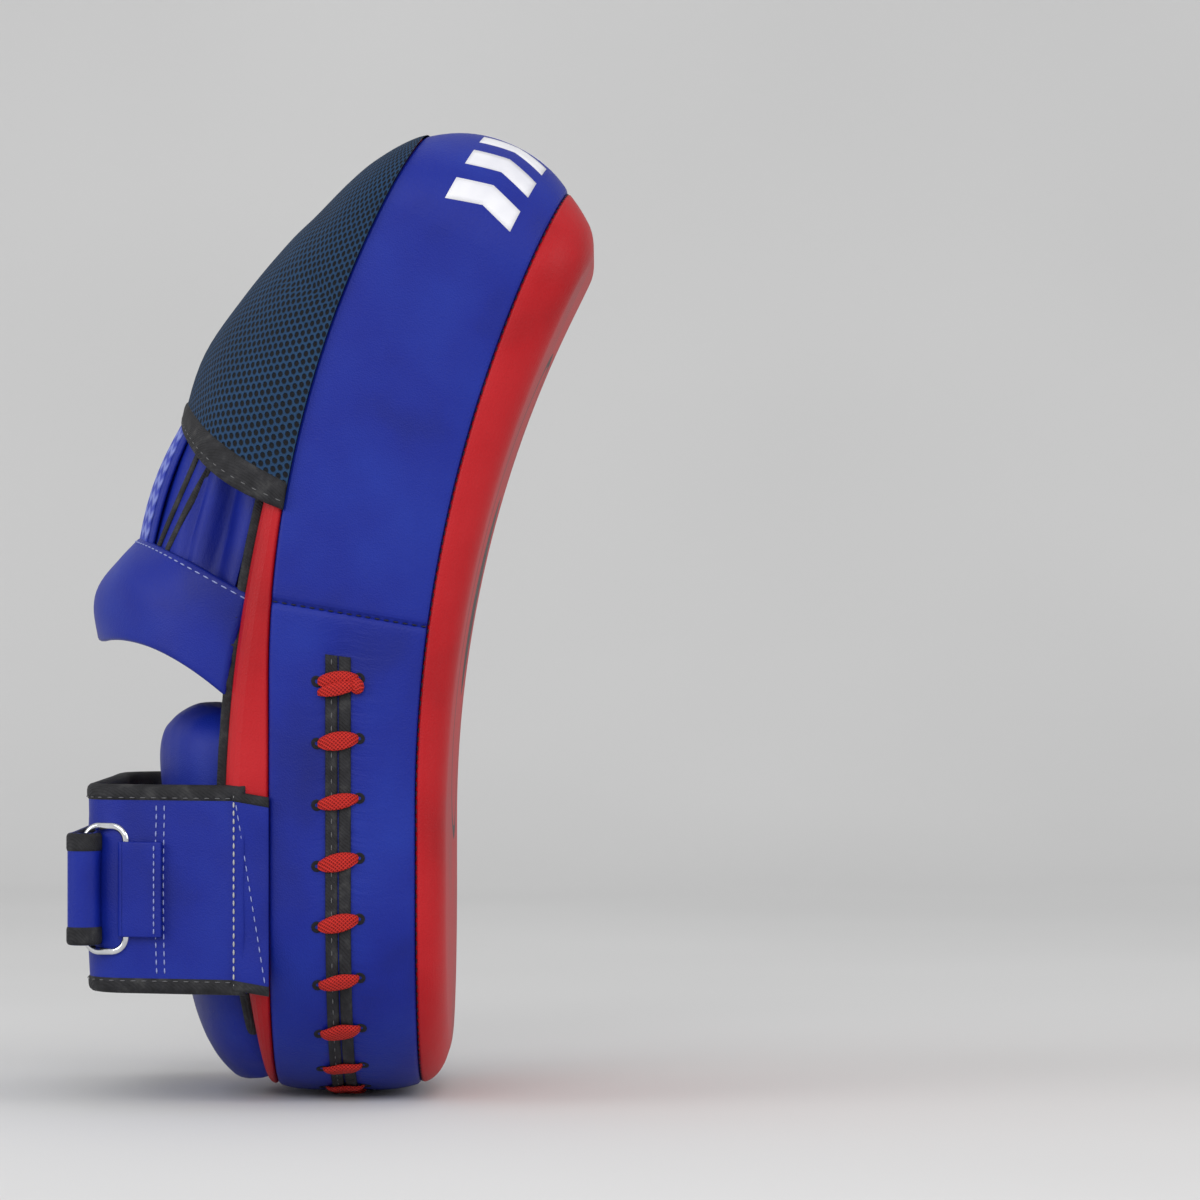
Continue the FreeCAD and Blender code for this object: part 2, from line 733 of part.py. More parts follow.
bar_foot = V(
    rear_face_x(palm_bar_height) - palm_bar_radius + palm_bar_sunk,
    -palm_bar_length / 2,
    palm_bar_height,
)
palm_bar = Part.makeCylinder(palm_bar_radius, palm_bar_length, bar_foot, V(0, 1, 0)).cut(outer_body)
core_foot = bar_foot + V(0, palm_bar_cover_wall, 0)
palm_core = Part.makeCylinder(
    palm_bar_radius - palm_bar_cover_wall,
    palm_bar_length - 2 * palm_bar_cover_wall,
    core_foot,
    V(0, 1, 0),
).cut(outer_body)
save(palm_bar.cut(palm_core), "palm_bar_cover")
save(palm_core, "palm_bar_foam")

cushion = arch_solid(cushion_sections).cut(outer_body)
cushion_foam = arch_solid(cushion_sections[1:-1], cushion_wall).cut(outer_body)
save(cushion.cut(cushion_foam).cut(all_piping), "wrist_cushion_cover")
save(cushion_foam.cut(all_piping), "wrist_cushion_foam")

cuff_low, cuff_high = cuff_middle - cuff_height / 2, cuff_middle + cuff_height / 2
cuff = cuff_ring(0, -cuff_wall, cuff_low + cuff_binding, cuff_high - cuff_binding)
taken = Part.makeCompound([cushion, all_piping])
save(cuff.cut(outer_body).cut(taken), "cuff")
for name, low in (("cuff_binding_lower", cuff_low), ("cuff_binding_upper", cuff_high - cuff_binding)):
    rim = cuff_ring(cuff_binding_proud, -cuff_wall - cuff_binding_proud, low, low + cuff_binding)
    save(rim.cut(outer_body).cut(taken), name)
for side, word in ((-1, "near"), (1, "far")):
    y = side * (half + anchor_wall / 2) - anchor_wall / 2
    patch = Part.makeBox(anchor_length, anchor_wall, cuff_height, V(cuff_front_x, y, cuff_low))
    save(patch.cut(outer_body), "cuff_anchor_" + word)

ring, ring_bar, ring_outer = make_ring()
save(ring, "strap_ring")
save(make_keeper(ring_bar), "ring_keeper")
turn, turn_y = make_strap_turn(ring_outer)
flap_x = ring_outer.x - ring_wire / 2 - strap_bend_gap
save(turn, "closing_strap_turn")
save(strap_slab(cuff_rear_x, strap_wall, turn_y + lay_gap, strap_far_y), "closing_strap")
tape_deep = (cuff_rear_x - strap_wall - flap_x) / 2 - tape_gap
loop_x = cuff_rear_x - strap_wall
hook_x = flap_x + tape_deep
loop_end, hook_end = strap_far_y - loop_tape_margin, flap_end_y - hook_tape_margin
loop_tape = strap_slab(loop_x, tape_deep, flap_tape_start_y, loop_end, tape_width)
hook_tape = strap_slab(hook_x, tape_deep, flap_tape_start_y, hook_end, tape_width)
save(loop_tape, "closing_strap_loop_tape")
save(hook_tape, "closing_flap_hook_tape")
save(strap_slab(flap_x, strap_wall, ring_outer.y + lay_gap, flap_end_y), "closing_flap")

# The origin goes to the middle of the whole pad, at the height of its lowest point.
boxes = [shape.optimalBoundingBox(False, False) for shape in nodes.values()]
middle_x = (min(b.XMin for b in boxes) + max(b.XMax for b in boxes)) / 2
for name, shape in nodes.items():
    shape.translated(V(-middle_x, 0, 0)).exportStep("parts/" + name + ".step")
print("moved back by", middle_x)
print("ring pivot", ring_bar.x - middle_x, ring_bar.y)
print("flap pivot", flap_x - strap_wall - middle_x, ring_outer.y + lay_gap)
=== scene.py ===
import bpy
import math
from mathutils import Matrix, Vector


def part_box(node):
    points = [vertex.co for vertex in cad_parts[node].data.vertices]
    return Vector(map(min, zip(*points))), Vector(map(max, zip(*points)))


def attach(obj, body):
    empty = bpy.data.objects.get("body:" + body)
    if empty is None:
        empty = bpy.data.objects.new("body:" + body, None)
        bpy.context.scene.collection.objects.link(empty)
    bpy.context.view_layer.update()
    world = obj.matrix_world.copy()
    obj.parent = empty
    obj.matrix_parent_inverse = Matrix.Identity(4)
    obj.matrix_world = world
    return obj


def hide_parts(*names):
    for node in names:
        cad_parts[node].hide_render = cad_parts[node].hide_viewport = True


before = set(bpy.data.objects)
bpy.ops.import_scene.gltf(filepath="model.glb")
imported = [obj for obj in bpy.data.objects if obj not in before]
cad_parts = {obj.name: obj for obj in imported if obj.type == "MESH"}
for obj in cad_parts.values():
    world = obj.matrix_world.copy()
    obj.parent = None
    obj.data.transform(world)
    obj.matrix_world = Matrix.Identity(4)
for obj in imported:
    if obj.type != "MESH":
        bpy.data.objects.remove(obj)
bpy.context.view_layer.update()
bpy.context.scene.view_settings.view_transform = "Standard"

# ---- Striking face, side bands and rear face ----
# The padding is a thick slab with a hollow curve, wrapped in coated leather: red over the
# striking face and rolled over its rim, blue round the sides, red again on the rear.
# The panels are cut flat, seamed edge to edge and turned, so every seam lies in a groove.
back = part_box("side_band_lower")[0].x + 0.0195  # the pad's own X zero, in metres
FACE_X, FACE_R, BEND_Z = 51.0, 485.0, 110.0
DEPTH = 88.0
BEND_X = FACE_X + FACE_R
MID_R = FACE_R + DEPTH / 2
TOP, BOTTOM, HALF = 397.0, 3.4, 95.0  # ends of the outline along the middle of the slab
TOP_R, BOTTOM_R, CROWN_R, BASE_R = 45.0, 80.0, 61.0, 85.0
HEEL_IN = 14.0
HALF_LOOP = 530.0  # outline length from the middle of the top to the middle of the bottom
CROSS_SEAM = 274.7  # place of the cross seam along it


def bent(y, length, depth):
    """Point at a length up the slab and a depth behind its striking face."""
    if length < BEND_Z:
        return (FACE_X - depth, y, length)
    turn = (length - BEND_Z) / MID_R
    radius = FACE_R + depth
    return (BEND_X - radius * math.cos(turn), y, BEND_Z + radius * math.sin(turn))


def outline(s):
    """Side, y, length and outward direction on the outline, and how far it is top or bottom end."""
    s %= 2 * HALF_LOOP
    side = -1 if s <= HALF_LOOP else 1
    if s > HALF_LOOP:
        s = 2 * HALF_LOOP - s
    flat, foot = HALF - TOP_R, HALF - BOTTOM_R
    corner = flat + TOP_R * math.pi / 2
    straight = corner + (TOP - TOP_R) - (BOTTOM + BOTTOM_R)
    if s < flat:
        return side, s, TOP, 0, 1, 1, 0
    if s < corner:
        a = (s - flat) / TOP_R
        y, z = math.sin(a), math.cos(a)
        return side, flat + TOP_R * y, TOP - TOP_R + TOP_R * z, y, z, z * z, 0
    if s < straight:
        return side, HALF, TOP - TOP_R - (s - corner), 1, 0, 0, 0
    a = (s - straight) / BOTTOM_R
    if a < math.pi / 2:
        y, z = math.cos(a), -math.sin(a)
        return side, foot + BOTTOM_R * y, BOTTOM + BOTTOM_R + BOTTOM_R * z, y, z, 0, z * z
    return side, HALF_LOOP - s, BOTTOM, 0, -1, 0, 1


def rear_depth(length):
    return DEPTH - HEEL_IN * max(0, BEND_Z - length) / (BEND_Z - BOTTOM)


def on_body(s, inset, depth):
    """Point of the outer surface, inset from the outline, at a depth behind the face."""
    side, y, length, ny, nz, top, bottom = outline(s)
    over = min(abs(depth - DEPTH / 2), CROWN_R - 1)
    inset += top * (CROWN_R - math.sqrt(CROWN_R**2 - over**2))
    dx = max(0, 28 - depth, depth - 57)
    inset += bottom * (BASE_R - math.sqrt(BASE_R**2 - dx**2))
    return side * (y - ny * inset), length - nz * inset, depth


def seam_depth(s, x0, start, radius):
    """Depth of a seam whose side view is upright to a height and then curves forward."""
    depth = FACE_X - x0
    for _ in range(12):
        x, _, z = bent(*on_body(s, 0, depth))
        if z > start:
            target = x0 + radius - math.sqrt(radius**2 - (z - start) ** 2)
        else:
            target = x0
        depth += x - target
    return depth


def seams(s):
    return seam_depth(s, 39.4, 120, 540), min(seam_depth(s, -19.5, 172, 420), DEPTH - 3.5)


def shaped(name, us, vs, place):
    """A grid with its corners placed in mm, and a UV map that measures it in metres."""
    bpy.ops.object.select_all(action="DESELECT")
    cols, rows = len(us), len(vs)
    bpy.ops.mesh.primitive_grid_add(x_subdivisions=cols - 1, y_subdivisions=rows - 1, size=1)
    piece = bpy.context.object
    piece.name = piece.data.name = name
    mesh = piece.data
    spots = [Vector(place(u, v)) * 0.001 + Vector((back, 0, 0)) for v in vs for u in us]
    mesh.vertices.foreach_set("co", [c for spot in spots for c in spot])
    middle = cols // 2
    along, heights = 0.0, []
    for j in range(rows):
        if j:
            along += (spots[j * cols + middle] - spots[(j - 1) * cols + middle]).length
        heights.append(along)
    flat = []
    for j in range(rows):
        line, total = [0.0], 0.0
        for i in range(1, cols):
            total += (spots[j * cols + i] - spots[j * cols + i - 1]).length
            line.append(total)
        flat += [(value - line[middle], heights[j]) for value in line]
    uv = mesh.uv_layers.active.data
    for loop in mesh.loops:
        uv[loop.index].uv = flat[loop.vertex_index]
    mesh.update()
    return piece


def close_up(piece, wall=0.0):
    """Joins the meeting edges, points the faces outwards and gives a sheet its thickness."""
    bpy.context.view_layer.objects.active = piece
    bpy.ops.object.mode_set(mode="EDIT")
    bpy.ops.mesh.select_all(action="SELECT")
    bpy.ops.mesh.remove_doubles(threshold=0.00003)
    bpy.ops.mesh.normals_make_consistent(inside=False)
    bpy.ops.object.mode_set(mode="OBJECT")
    if wall:
        thick = piece.modifiers.new("wall", "SOLIDIFY")
        thick.thickness = wall
        thick.offset = -1
        bpy.ops.object.modifier_apply(modifier="wall")
    bpy.ops.object.shade_smooth()


def steps(start, end, count, close=()):
    """Even steps, with extra ones close to both ends."""
    inner = [start + (end - start) * i / count for i in range(count + 1)]
    near = [start + c for c in close] + [end - c for c in close]
    lowest, highest = start + max(close, default=0), end - max(close, default=0)
    return sorted({start, end, *near, *(i for i in inner if lowest < i < highest)})


GROOVE = (0.7, 1.6, 2.8, 4.4)
loop_s = [2 * HALF_LOOP * i / 352 for i in range(353)]
seam_cache = {}


def seams_at(s):
    key = round(s, 4)
    if key not in seam_cache:
        seam_cache[key] = seams(s)
    return seam_cache[key]


def front_cover_point(s, row):
    """Row 0 to 3 turn in at the seam, 4 to 18 roll over the rim, the rest cross the face."""
    seam = seams_at(s)[0]
    top = outline(s)[5]
    roll_depth = seam + (9 - seam) * top
    reach = 17 + (8 - 17) * top
    if row < 3:
        inset, ahead = ((2.6, -0.4), (1.0, 0.1), (0.25, 0.7))[row]
        return bent(*on_body(s, inset, seam - ahead))
    share = min(1, (row - 3) / 15)
    straight = (seam - roll_depth) / max(1e-6, seam - roll_depth + 1.4 * roll_depth)
    if share < straight:
        return bent(*on_body(s, 0, seam - 1.2 * (1 - share) - share / straight * (seam - roll_depth)))
    turn = (share - straight) / (1 - straight) * math.pi / 2
    depth = roll_depth * (1 - math.sin(turn)) - 1.2 * (1 - share)
    y, length, depth = on_body(s, reach * (1 - math.cos(turn)), depth)
    if row > 18:
        keep = (0.96, 0.9, 0.8, 0.65, 0.5, 0.35, 0.2, 0.1, 0)[row - 19]
        middle = min(330, max(100, length))
        y *= keep
        length = middle + keep * (length - middle)
        depth = -0.8 * (1 - keep**2)
    return bent(y, length, depth)


def rear_cover_point(s, row):
    seam = seams_at(s)[1]
    deep = rear_depth(outline(s)[2])
    if row < 3:
        inset, behind = ((2.6, -0.4), (1.0, 0.1), (0.25, 0.7))[row]
        return bent(*on_body(s, inset, seam + behind))
    share = min(1, (row - 3) / 7)
    room = min(8.0, deep - seam - 1.2)
    if share < 0.3:
        return bent(*on_body(s, 0, seam + 1.2 + (deep - room - seam - 1.2) * share / 0.3))
    turn = (share - 0.3) / 0.7 * math.pi / 2
    y, length, depth = on_body(s, room * (1 - math.cos(turn)), deep - room * (1 - math.sin(turn)))
    if row > 10:
        keep = (0.9, 0.7, 0.45, 0.2, 0)[row - 11]
        middle = min(330, max(100, length))
        y *= keep
        length = middle + keep * (length - middle)
        depth = rear_depth(length)
    return bent(y, length, depth)


OPENING_X, OPENING_S = 8.5, 291.7  # side-view place of the laced opening and its upper end


def depth_at_x(s, x):
    length = outline(s)[2]
    if length < BEND_Z:
        return FACE_X - x
    return (BEND_X - x) / math.cos((length - BEND_Z) / MID_R) - FACE_R


def on_band(s, depth, out=0.0):
    """Point on the stuffed side band: full between its seams, drawn in along the lacing."""
    front, rear = seams_at(s)
    share = max(0, min(1, (depth - front) / (rear - front)))
    full = 1.5 * (1 - (2 * share - 1) ** 4)
    if OPENING_S - 12 < s % (2 * HALF_LOOP) < 2 * HALF_LOOP - OPENING_S + 12:
        x = bent(*on_body(s, 0, depth))[0]
        end = min(1, (min(s, 2 * HALF_LOOP - s) - OPENING_S + 12) / 12)
        full -= 1.6 * end * math.exp(-(((x - OPENING_X) / 6.5) ** 2))
    return bent(*on_body(s, -full - out, depth))


def band_point(start, end):
    def place(s, share):
        front, rear = seams_at(s)
        near_end = min(s - start, end - s)
        pinch = 1.1 * math.exp(-((near_end / 1.3) ** 2))
        gap = min(share, 1 - share) * (rear - front)
        tuck = 2.6 if gap == 0 else 0.9 * math.exp(-((gap / 0.9) ** 2))
        return on_band(s, front + share * (rear - front), -pinch - tuck)

    return place


rows_across = steps(0, 1, 22, (0.012, 0.026, 0.045))
front_cover = shaped("front_cover", loop_s, list(range(28)), front_cover_point)
rear_cover = shaped("rear_cover", loop_s, list(range(16)), rear_cover_point)
span_upper = (-CROSS_SEAM, CROSS_SEAM)
span_lower = (CROSS_SEAM, 2 * HALF_LOOP - CROSS_SEAM)
band_upper = shaped("band_upper", steps(*span_upper, 180, GROOVE), rows_across, band_point(*span_upper))
band_lower = shaped("band_lower", steps(*span_lower, 190, GROOVE), rows_across, band_point(*span_lower))
for piece in (front_cover, rear_cover, band_upper, band_lower):
    close_up(piece, 0.0015)
    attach(piece, "pad")


class Value:
    """A socket that can be added, multiplied and compared like a number."""

    def __init__(self, tree, socket):
        self.tree, self.socket = tree, socket

    def node(self, kind, settings=(), inputs=(), out=0):
        node = self.tree.nodes.new(kind)
        for key, setting in dict(settings).items():
            if key == "stops":
                ramp = node.color_ramp
                while len(ramp.elements) < len(setting):
                    ramp.elements.new(0.5)
                for element, (place, colour) in zip(ramp.elements, setting):
                    element.position, element.color = place, colour
            else:
                setattr(node, key, setting)
        for key, value in dict(inputs).items():
            if isinstance(value, Value):
                self.tree.links.new(value.socket, node.inputs[key])
            else:
                node.inputs[key].default_value = value
        return Value(self.tree, node.outputs[out])

    def math(self, operation, *others):
        inputs = {0: self}
        inputs.update({i + 1: other for i, other in enumerate(others)})
        return self.node("ShaderNodeMath", {"operation": operation}, inputs)

    def __add__(self, other):
        return self.math("ADD", other)

    __radd__ = __add__

    def __mul__(self, other):
        return self.math("MULTIPLY", other)

    __rmul__ = __mul__

    def __sub__(self, other):
        return self.math("SUBTRACT", other)

    def __rsub__(self, other):
        return self.node("ShaderNodeMath", {"operation": "SUBTRACT"}, {0: other, 1: self})

    def __truediv__(self, other):
        return self.math("DIVIDE", other)

    def __lt__(self, other):
        return self.math("LESS_THAN", other)

    def __gt__(self, other):
        return self.math("GREATER_THAN", other)

    def noise(self, scale, detail=3.0, rough=0.55, stretch=(1, 1, 1)):
        spots = self.node("ShaderNodeMapping", {}, {"Vector": self, "Scale": stretch})
        return self.node(
            "ShaderNodeTexNoise", {}, {"Vector": spots, "Scale": scale, "Detail": detail, "Roughness": rough}
        )

    def cells(self, scale, feature="F1"):
        settings = {"feature": feature}
        return self.node("ShaderNodeTexVoronoi", settings, {"Vector": self, "Scale": scale})

    def ramp(self, *stops):
        return self.node("ShaderNodeValToRGB", {"stops": stops}, {"Fac": self})

    def mix(self, low, high):
        settings = {"data_type": "RGBA"}
        return self.node("ShaderNodeMix", settings, {"Factor": self, "A": low, "B": high}, 2)

    def split(self):
        return [self.node("ShaderNodeSeparateXYZ", {}, {0: self}, i) for i in range(3)]


def linear(red, green, blue):
    """Colour given as it looks, in 0 to 255, for a shader socket."""
    parts = [c / 255 for c in (red, green, blue)]
    return tuple(((c + 0.055) / 1.055) ** 2.4 if c > 0.04 else c / 12.92 for c in parts) + (1,)


def finish(name, colour, roughness, build=None, coordinates="Object", **constants):
    """A material whose build(places) may give colour, roughness and height over the surface."""
    material = bpy.data.materials.new(name)
    material.use_nodes = True
    tree = material.node_tree
    shader = tree.nodes["Principled BSDF"]
    shader.inputs["Base Color"].default_value = colour
    shader.inputs["Roughness"].default_value = roughness
    for key, value in constants.items():
        shader.inputs[key.replace("_", " ")].default_value = value
    source = tree.nodes.new("ShaderNodeTexCoord")
    places = Value(tree, source.outputs[coordinates])
    made = build(places) if build else {}
    for key, value in made.items():
        if key == "height":
            height, strength, distance = value
            bump = places.node(
                "ShaderNodeBump", {}, {"Height": height, "Strength": strength, "Distance": distance}
            )
            tree.links.new(bump.socket, shader.inputs["Normal"])
        else:
            tree.links.new(value.socket, shader.inputs[key])
    return material


def give(piece, material):
    """Every face of the piece takes this material."""
    piece.data.materials.clear()
    piece.data.materials.append(material)


def hide_look(deep, main, worn):
    """Coated leather: fine pebble grain, soft cloudy colour, slightly worn high spots."""

    def build(places):
        cloud = places.noise(14, 3)
        grain = places.cells(1500)
        pores = places.noise(2600, 2)
        folds = places.noise(55, 4, 0.6, (1, 1, 0.45))
        tone = cloud.ramp((0.32, deep), (0.5, main), (0.72, worn))
        return {
            "Base Color": (grain * 0.2).mix(tone, deep),
            "Roughness": 0.34 + cloud * 0.16 + pores * 0.12,
            "height": (grain * 0.35 + pores * 0.3 + folds * 1.4, 0.32, 0.0009),
        }

    return build


BLUE_TONES = (linear(6, 22, 112), linear(10, 32, 138), linear(20, 46, 152))
RED_TONES = (linear(150, 4, 14), linear(176, 10, 22), linear(188, 26, 34))
BLUE_ROUGHNESS, RED_ROUGHNESS, LEATHER_SHEEN = 0.42, 0.4, 0.27
blue = finish(
    "blue_coated_leather",
    BLUE_TONES[1],
    BLUE_ROUGHNESS,
    hide_look(*BLUE_TONES),
    Specular_IOR_Level=LEATHER_SHEEN,
)
red = finish(
    "red_coated_leather",
    RED_TONES[1],
    RED_ROUGHNESS,
    hide_look(*RED_TONES),
    Specular_IOR_Level=LEATHER_SHEEN,
)


def drawn_look(places):
    """Blue leather puckered either side of the lacing, smooth away from it."""
    u, v, _ = places.split()
    made = hide_look(*BLUE_TONES)(places)
    folds = places.noise(260, 3, 0.6, (1, 0.13, 1))
    near = ((v - 0.0305).math("ABSOLUTE") * -60 + 1).math("MAXIMUM", 0)
    height, strength, distance = made["height"]
    made["height"] = (height + folds * near * 3.2, strength, distance)
    return made


def target_look(places):
    """Red striking face with a plain black ring target printed on it."""
    made = hide_look(*RED_TONES)(places)
    x, y, z = places.split()
    high = (z - 0.205) / 0.098
    wide = y / 0.058
    away = (high * high + wide * wide).math("SQRT")
    ring = (away - 1).math("ABSOLUTE").math("LESS_THAN", 0.028)
    disc = away.math("LESS_THAN", 0.42)
    front = x.math("GREATER_THAN", 0.02)
    ink = ring.math("MAXIMUM", disc) * front
    made["Base Color"] = ink.mix(made["Base Color"], linear(22, 20, 22))
    return made


drawn_blue = finish(
    "blue_leather_drawn_in",
    BLUE_TONES[1],
    BLUE_ROUGHNESS,
    drawn_look,
    "UV",
    Specular_IOR_Level=LEATHER_SHEEN,
)
face_red = finish(
    "red_leather_with_target", RED_TONES[1], RED_ROUGHNESS, target_look, Specular_IOR_Level=LEATHER_SHEEN
)
give(front_cover, face_red)
give(rear_cover, red)
give(band_upper, blue)
give(band_lower, drawn_blue)
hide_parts("front_skin", "impact_foam")
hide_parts("rear_skin", "backing_foam", "core_foam")
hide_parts("side_band_upper")
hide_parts("side_band_lower")

# ---- Printed bars on the top end ----
# The top end carries a light print on the real pad. Plain slanted bars of white ink stand
# in its place, a thin film that follows the band.
white_ink = finish(
    "white_ink",
    linear(226, 226, 230),
    0.45,
    lambda places: {
        "Base Color": places.noise(60, 2).ramp((0.3, linear(214, 214, 222)), (0.7, linear(234, 234, 238))),
        "height": (places.noise(1500, 2), 0.12, 0.0003),
    },
)
BARS, BAR_PITCH, BAR_WIDTH, BAR_SLANT = 12, 18, 10, 9  # in mm round the top end
for count in range(BARS):
    start = BAR_PITCH * (count - BARS / 2) + 4

    def bar_point(u, v, start=start):
        s = start + BAR_WIDTH * u + BAR_SLANT * abs(v - 0.5)
        front, rear = seams_at(s)
        return on_band(s, front + (0.2 + 0.46 * v) * (rear - front), 0.12)

    bar = shaped(f"print_bar_{count + 1}", steps(0, 1, 4), steps(0, 1, 12), bar_point)
    close_up(bar, 0.0002)
    give(bar, white_ink)
    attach(bar, "pad")

# ---- Seam stitches ----
# Waxed thread, one small stitch after another: dark blue in the two long seams and in the
# cross seam, paler on the hand compartment and the cuff.
bpy.ops.object.select_all(action="DESELECT")
bpy.ops.mesh.primitive_uv_sphere_add(segments=6, ring_count=4, radius=1)
pattern = bpy.context.object
stitch_corners = [vertex.co.copy() for vertex in pattern.data.vertices]
stitch_faces = [tuple(face.vertices) for face in pattern.data.polygons]
bpy.data.objects.remove(pattern)


def thread_look(colour):
    def build(places):
        twist = places.noise(2400, 2)
        return {
            "Base Color": twist.ramp((0.3, tuple(0.6 * c for c in colour[:3]) + (1,)), (0.65, colour)),
            "height": (twist, 0.5, 0.0004),
        }

    return build


dark_thread = finish("dark_blue_thread", linear(14, 14, 44), 0.7, thread_look(linear(14, 14, 44)))
pale_thread = finish("pale_thread", linear(150, 160, 215), 0.7, thread_look(linear(150, 160, 215)))
white_thread = finish("white_thread", linear(190, 190, 190), 0.7, thread_look(linear(190, 190, 190)))
grey_thread = finish("grey_thread", linear(104, 104, 106), 0.7, thread_look(linear(104, 104, 106)))


def stitches(name, line, pitch, length, radius, material):
    """Small stitches along line(t), t in mm, which gives a point and an outward direction in mm."""
    place, end = line
    corners, faces = [], []
    count = int(end / pitch)
    for i in range(count):
        t = (i + 0.5) * end / count
        middle, out = place(t)
        ahead, _ = place(min(end, t + length / 2))
        behind, _ = place(max(0, t - length / 2))
        run = (Vector(ahead) - Vector(behind)).normalized()
        out = Vector(out).normalized()
        side = run.cross(out).normalized()
        first = len(corners)
        for c in stitch_corners:
            at = Vector(middle) + run * c.z * length / 2 + side * c.x * radius + out * c.y * radius
            corners.append(at * 0.001 + Vector((back, 0, 0)))
        faces += [tuple(first + i for i in face) for face in stitch_faces]
    mesh = bpy.data.meshes.new(name)
    mesh.from_pydata(corners, [], faces)
    piece = bpy.data.objects.new(name, mesh)
    bpy.context.collection.objects.link(piece)
    bpy.ops.object.select_all(action="DESELECT")
    piece.select_set(True)
    close_up(piece)
    give(piece, material)
    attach(piece, "pad")


def outward(s):
    side, _, length, ny, nz, _, _ = outline(s)
    turn = max(0, length - BEND_Z) / MID_R
    return (nz * math.sin(turn), side * ny, nz * math.cos(turn))


def front_seam_line(t):
    return bent(*on_body(t, 0.75, seams_at(t)[0] - 0.1)), outward(t)


stitches("front_seam_stitches", (front_seam_line, 2 * HALF_LOOP), 3.8, 2.4, 0.3, dark_thread)
for side, place_s in (("near", CROSS_SEAM), ("far", 2 * HALF_LOOP - CROSS_SEAM)):

    def cross_line(t, place_s=place_s):
        front, rear = seams_at(place_s)
        return on_band(place_s, front + t, -0.7), outward(place_s)

    reach = seams_at(place_s)[1] - seams_at(place_s)[0]
    stitches(f"cross_seam_stitches_{side}", (cross_line, reach), 3.6, 2.3, 0.36, dark_thread)

# ---- Laced opening ----
# The lower band is left open so that the padding can be put in. Both edges are bound with
# black tape, and a flat braided lace drawn through punched holes pulls them together.


def strip(name, surface, width, wall, ts, across=6, taper=True):
    """A strip of leather or tape with rounded edges that lies on surface(w, t), in mm."""
    radius = min(wall, width) / 2
    section = []
    for w in steps(radius, width - radius, across):
        section.append((w, radius))
    for turn in (0.33, 0.67, 1.0, 1.33, 1.67):
        a = math.pi / 2 - turn * math.pi / 2
        section.append((width - radius + radius * math.cos(a), radius * math.sin(a)))
    for w in reversed(steps(radius, width - radius, across)):
        section.append((w, -radius))
    for turn in (0.33, 0.67, 1.0, 1.33, 1.67):
        a = -math.pi / 2 - turn * math.pi / 2
        section.append((radius + radius * math.cos(a), radius * math.sin(a)))
    section.append(section[0])
    ts = list(ts)
    if taper:
        step = (ts[-1] - ts[0]) * 0.002
        lines = [(ts[0], 0.0), (ts[0], 0.7), (ts[0] + step, 1.0)]
        lines += [(t, 1.0) for t in ts[1:-1]]
        lines += [(ts[-1] - step, 1.0), (ts[-1], 0.7), (ts[-1], 0.0)]
    else:
        lines = [(t, 1.0) for t in ts]
    tiny_w, tiny_t = width * 0.001, (ts[-1] - ts[0]) * 0.0005

    def place(corner, line):
        w, height = section[int(corner)]
        t, scale = lines[int(line)]
        inside = min(max(w, tiny_w), width - tiny_w)
        at = Vector(surface(inside, t))
        along_w = Vector(surface(inside + tiny_w, t)) - Vector(surface(inside - tiny_w, t))
        t_low, t_high = max(ts[0], t - tiny_t), min(ts[-1], t + tiny_t)
        along_t = Vector(surface(inside, t_high)) - Vector(surface(inside, t_low))
        normal = along_w.cross(along_t).normalized()
        extra = along_w.normalized() * (w - inside)
        return at + extra + normal * height * scale

    piece = shaped(name, list(range(len(section))), list(range(len(lines))), place)
    close_up(piece)
    return piece


def tape_look(places):
    """Black binding tape: fine cross ribs over a slightly uneven, dusty black."""
    waves = {"Vector": places, "Scale": 420.0, "Distortion": 1.2}
    ribs = places.node("ShaderNodeTexWave", {"bands_direction": "DIAGONAL"}, waves, 1)
    dust = places.noise(180, 4)
    return {
        "Base Color": dust.ramp(
            (0.35, linear(24, 24, 27)), (0.55, linear(38, 38, 41)), (0.8, linear(66, 66, 66))
        ),
        "Roughness": 0.62 + dust * 0.2,
        "height": (ribs * 0.5 + dust * 0.8 + places.noise(1900, 2) * 0.4, 0.5, 0.0006),
    }


black_tape = finish("black_binding_tape", linear(34, 34, 37), 0.7, tape_look, Specular_IOR_Level=0.3)

opening_span = (OPENING_S, 2 * HALF_LOOP - OPENING_S)
opening_steps = steps(*opening_span, 150)
for word, x_low in (("rear", OPENING_X - 5.1), ("front", OPENING_X + 0.2)):

    def edge_surface(w, s, x_low=x_low):
        return on_band(s, depth_at_x(s, x_low + w), 0.35)

    edge = strip(f"opening_edge_{word}", edge_surface, 4.9, 1.9, opening_steps, 4)
    give(edge, black_tape)
    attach(edge, "pad")
    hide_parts(f"opening_binding_{word}")

CROSSINGS, LACE_MARGIN, HOLE_OUT, LACE_LEAN = 20, 9.4, 8.4, 1.6
LACE_FIRST, LACE_LAST = OPENING_S + LACE_MARGIN, 2 * HALF_LOOP - OPENING_S - LACE_MARGIN
lace_places = [LACE_FIRST + (LACE_LAST - LACE_FIRST) * i / (CROSSINGS - 1) for i in range(CROSSINGS)]
hole_pieces, lace_pieces = [], []


# A shallow dish on the band at each hole. It carries painted shade in place of the hole's shadowed inside.
def hole_point(s0, x0):
    def place(ring, turn):
        a = 2 * math.pi * turn
        radius = 2.3 * ring
        s = s0 + radius * math.cos(a)
        return on_band(s, depth_at_x(s, x0 + radius * math.sin(a)), 0.22 - 0.5 * (1 - ring) ** 2)

    return place


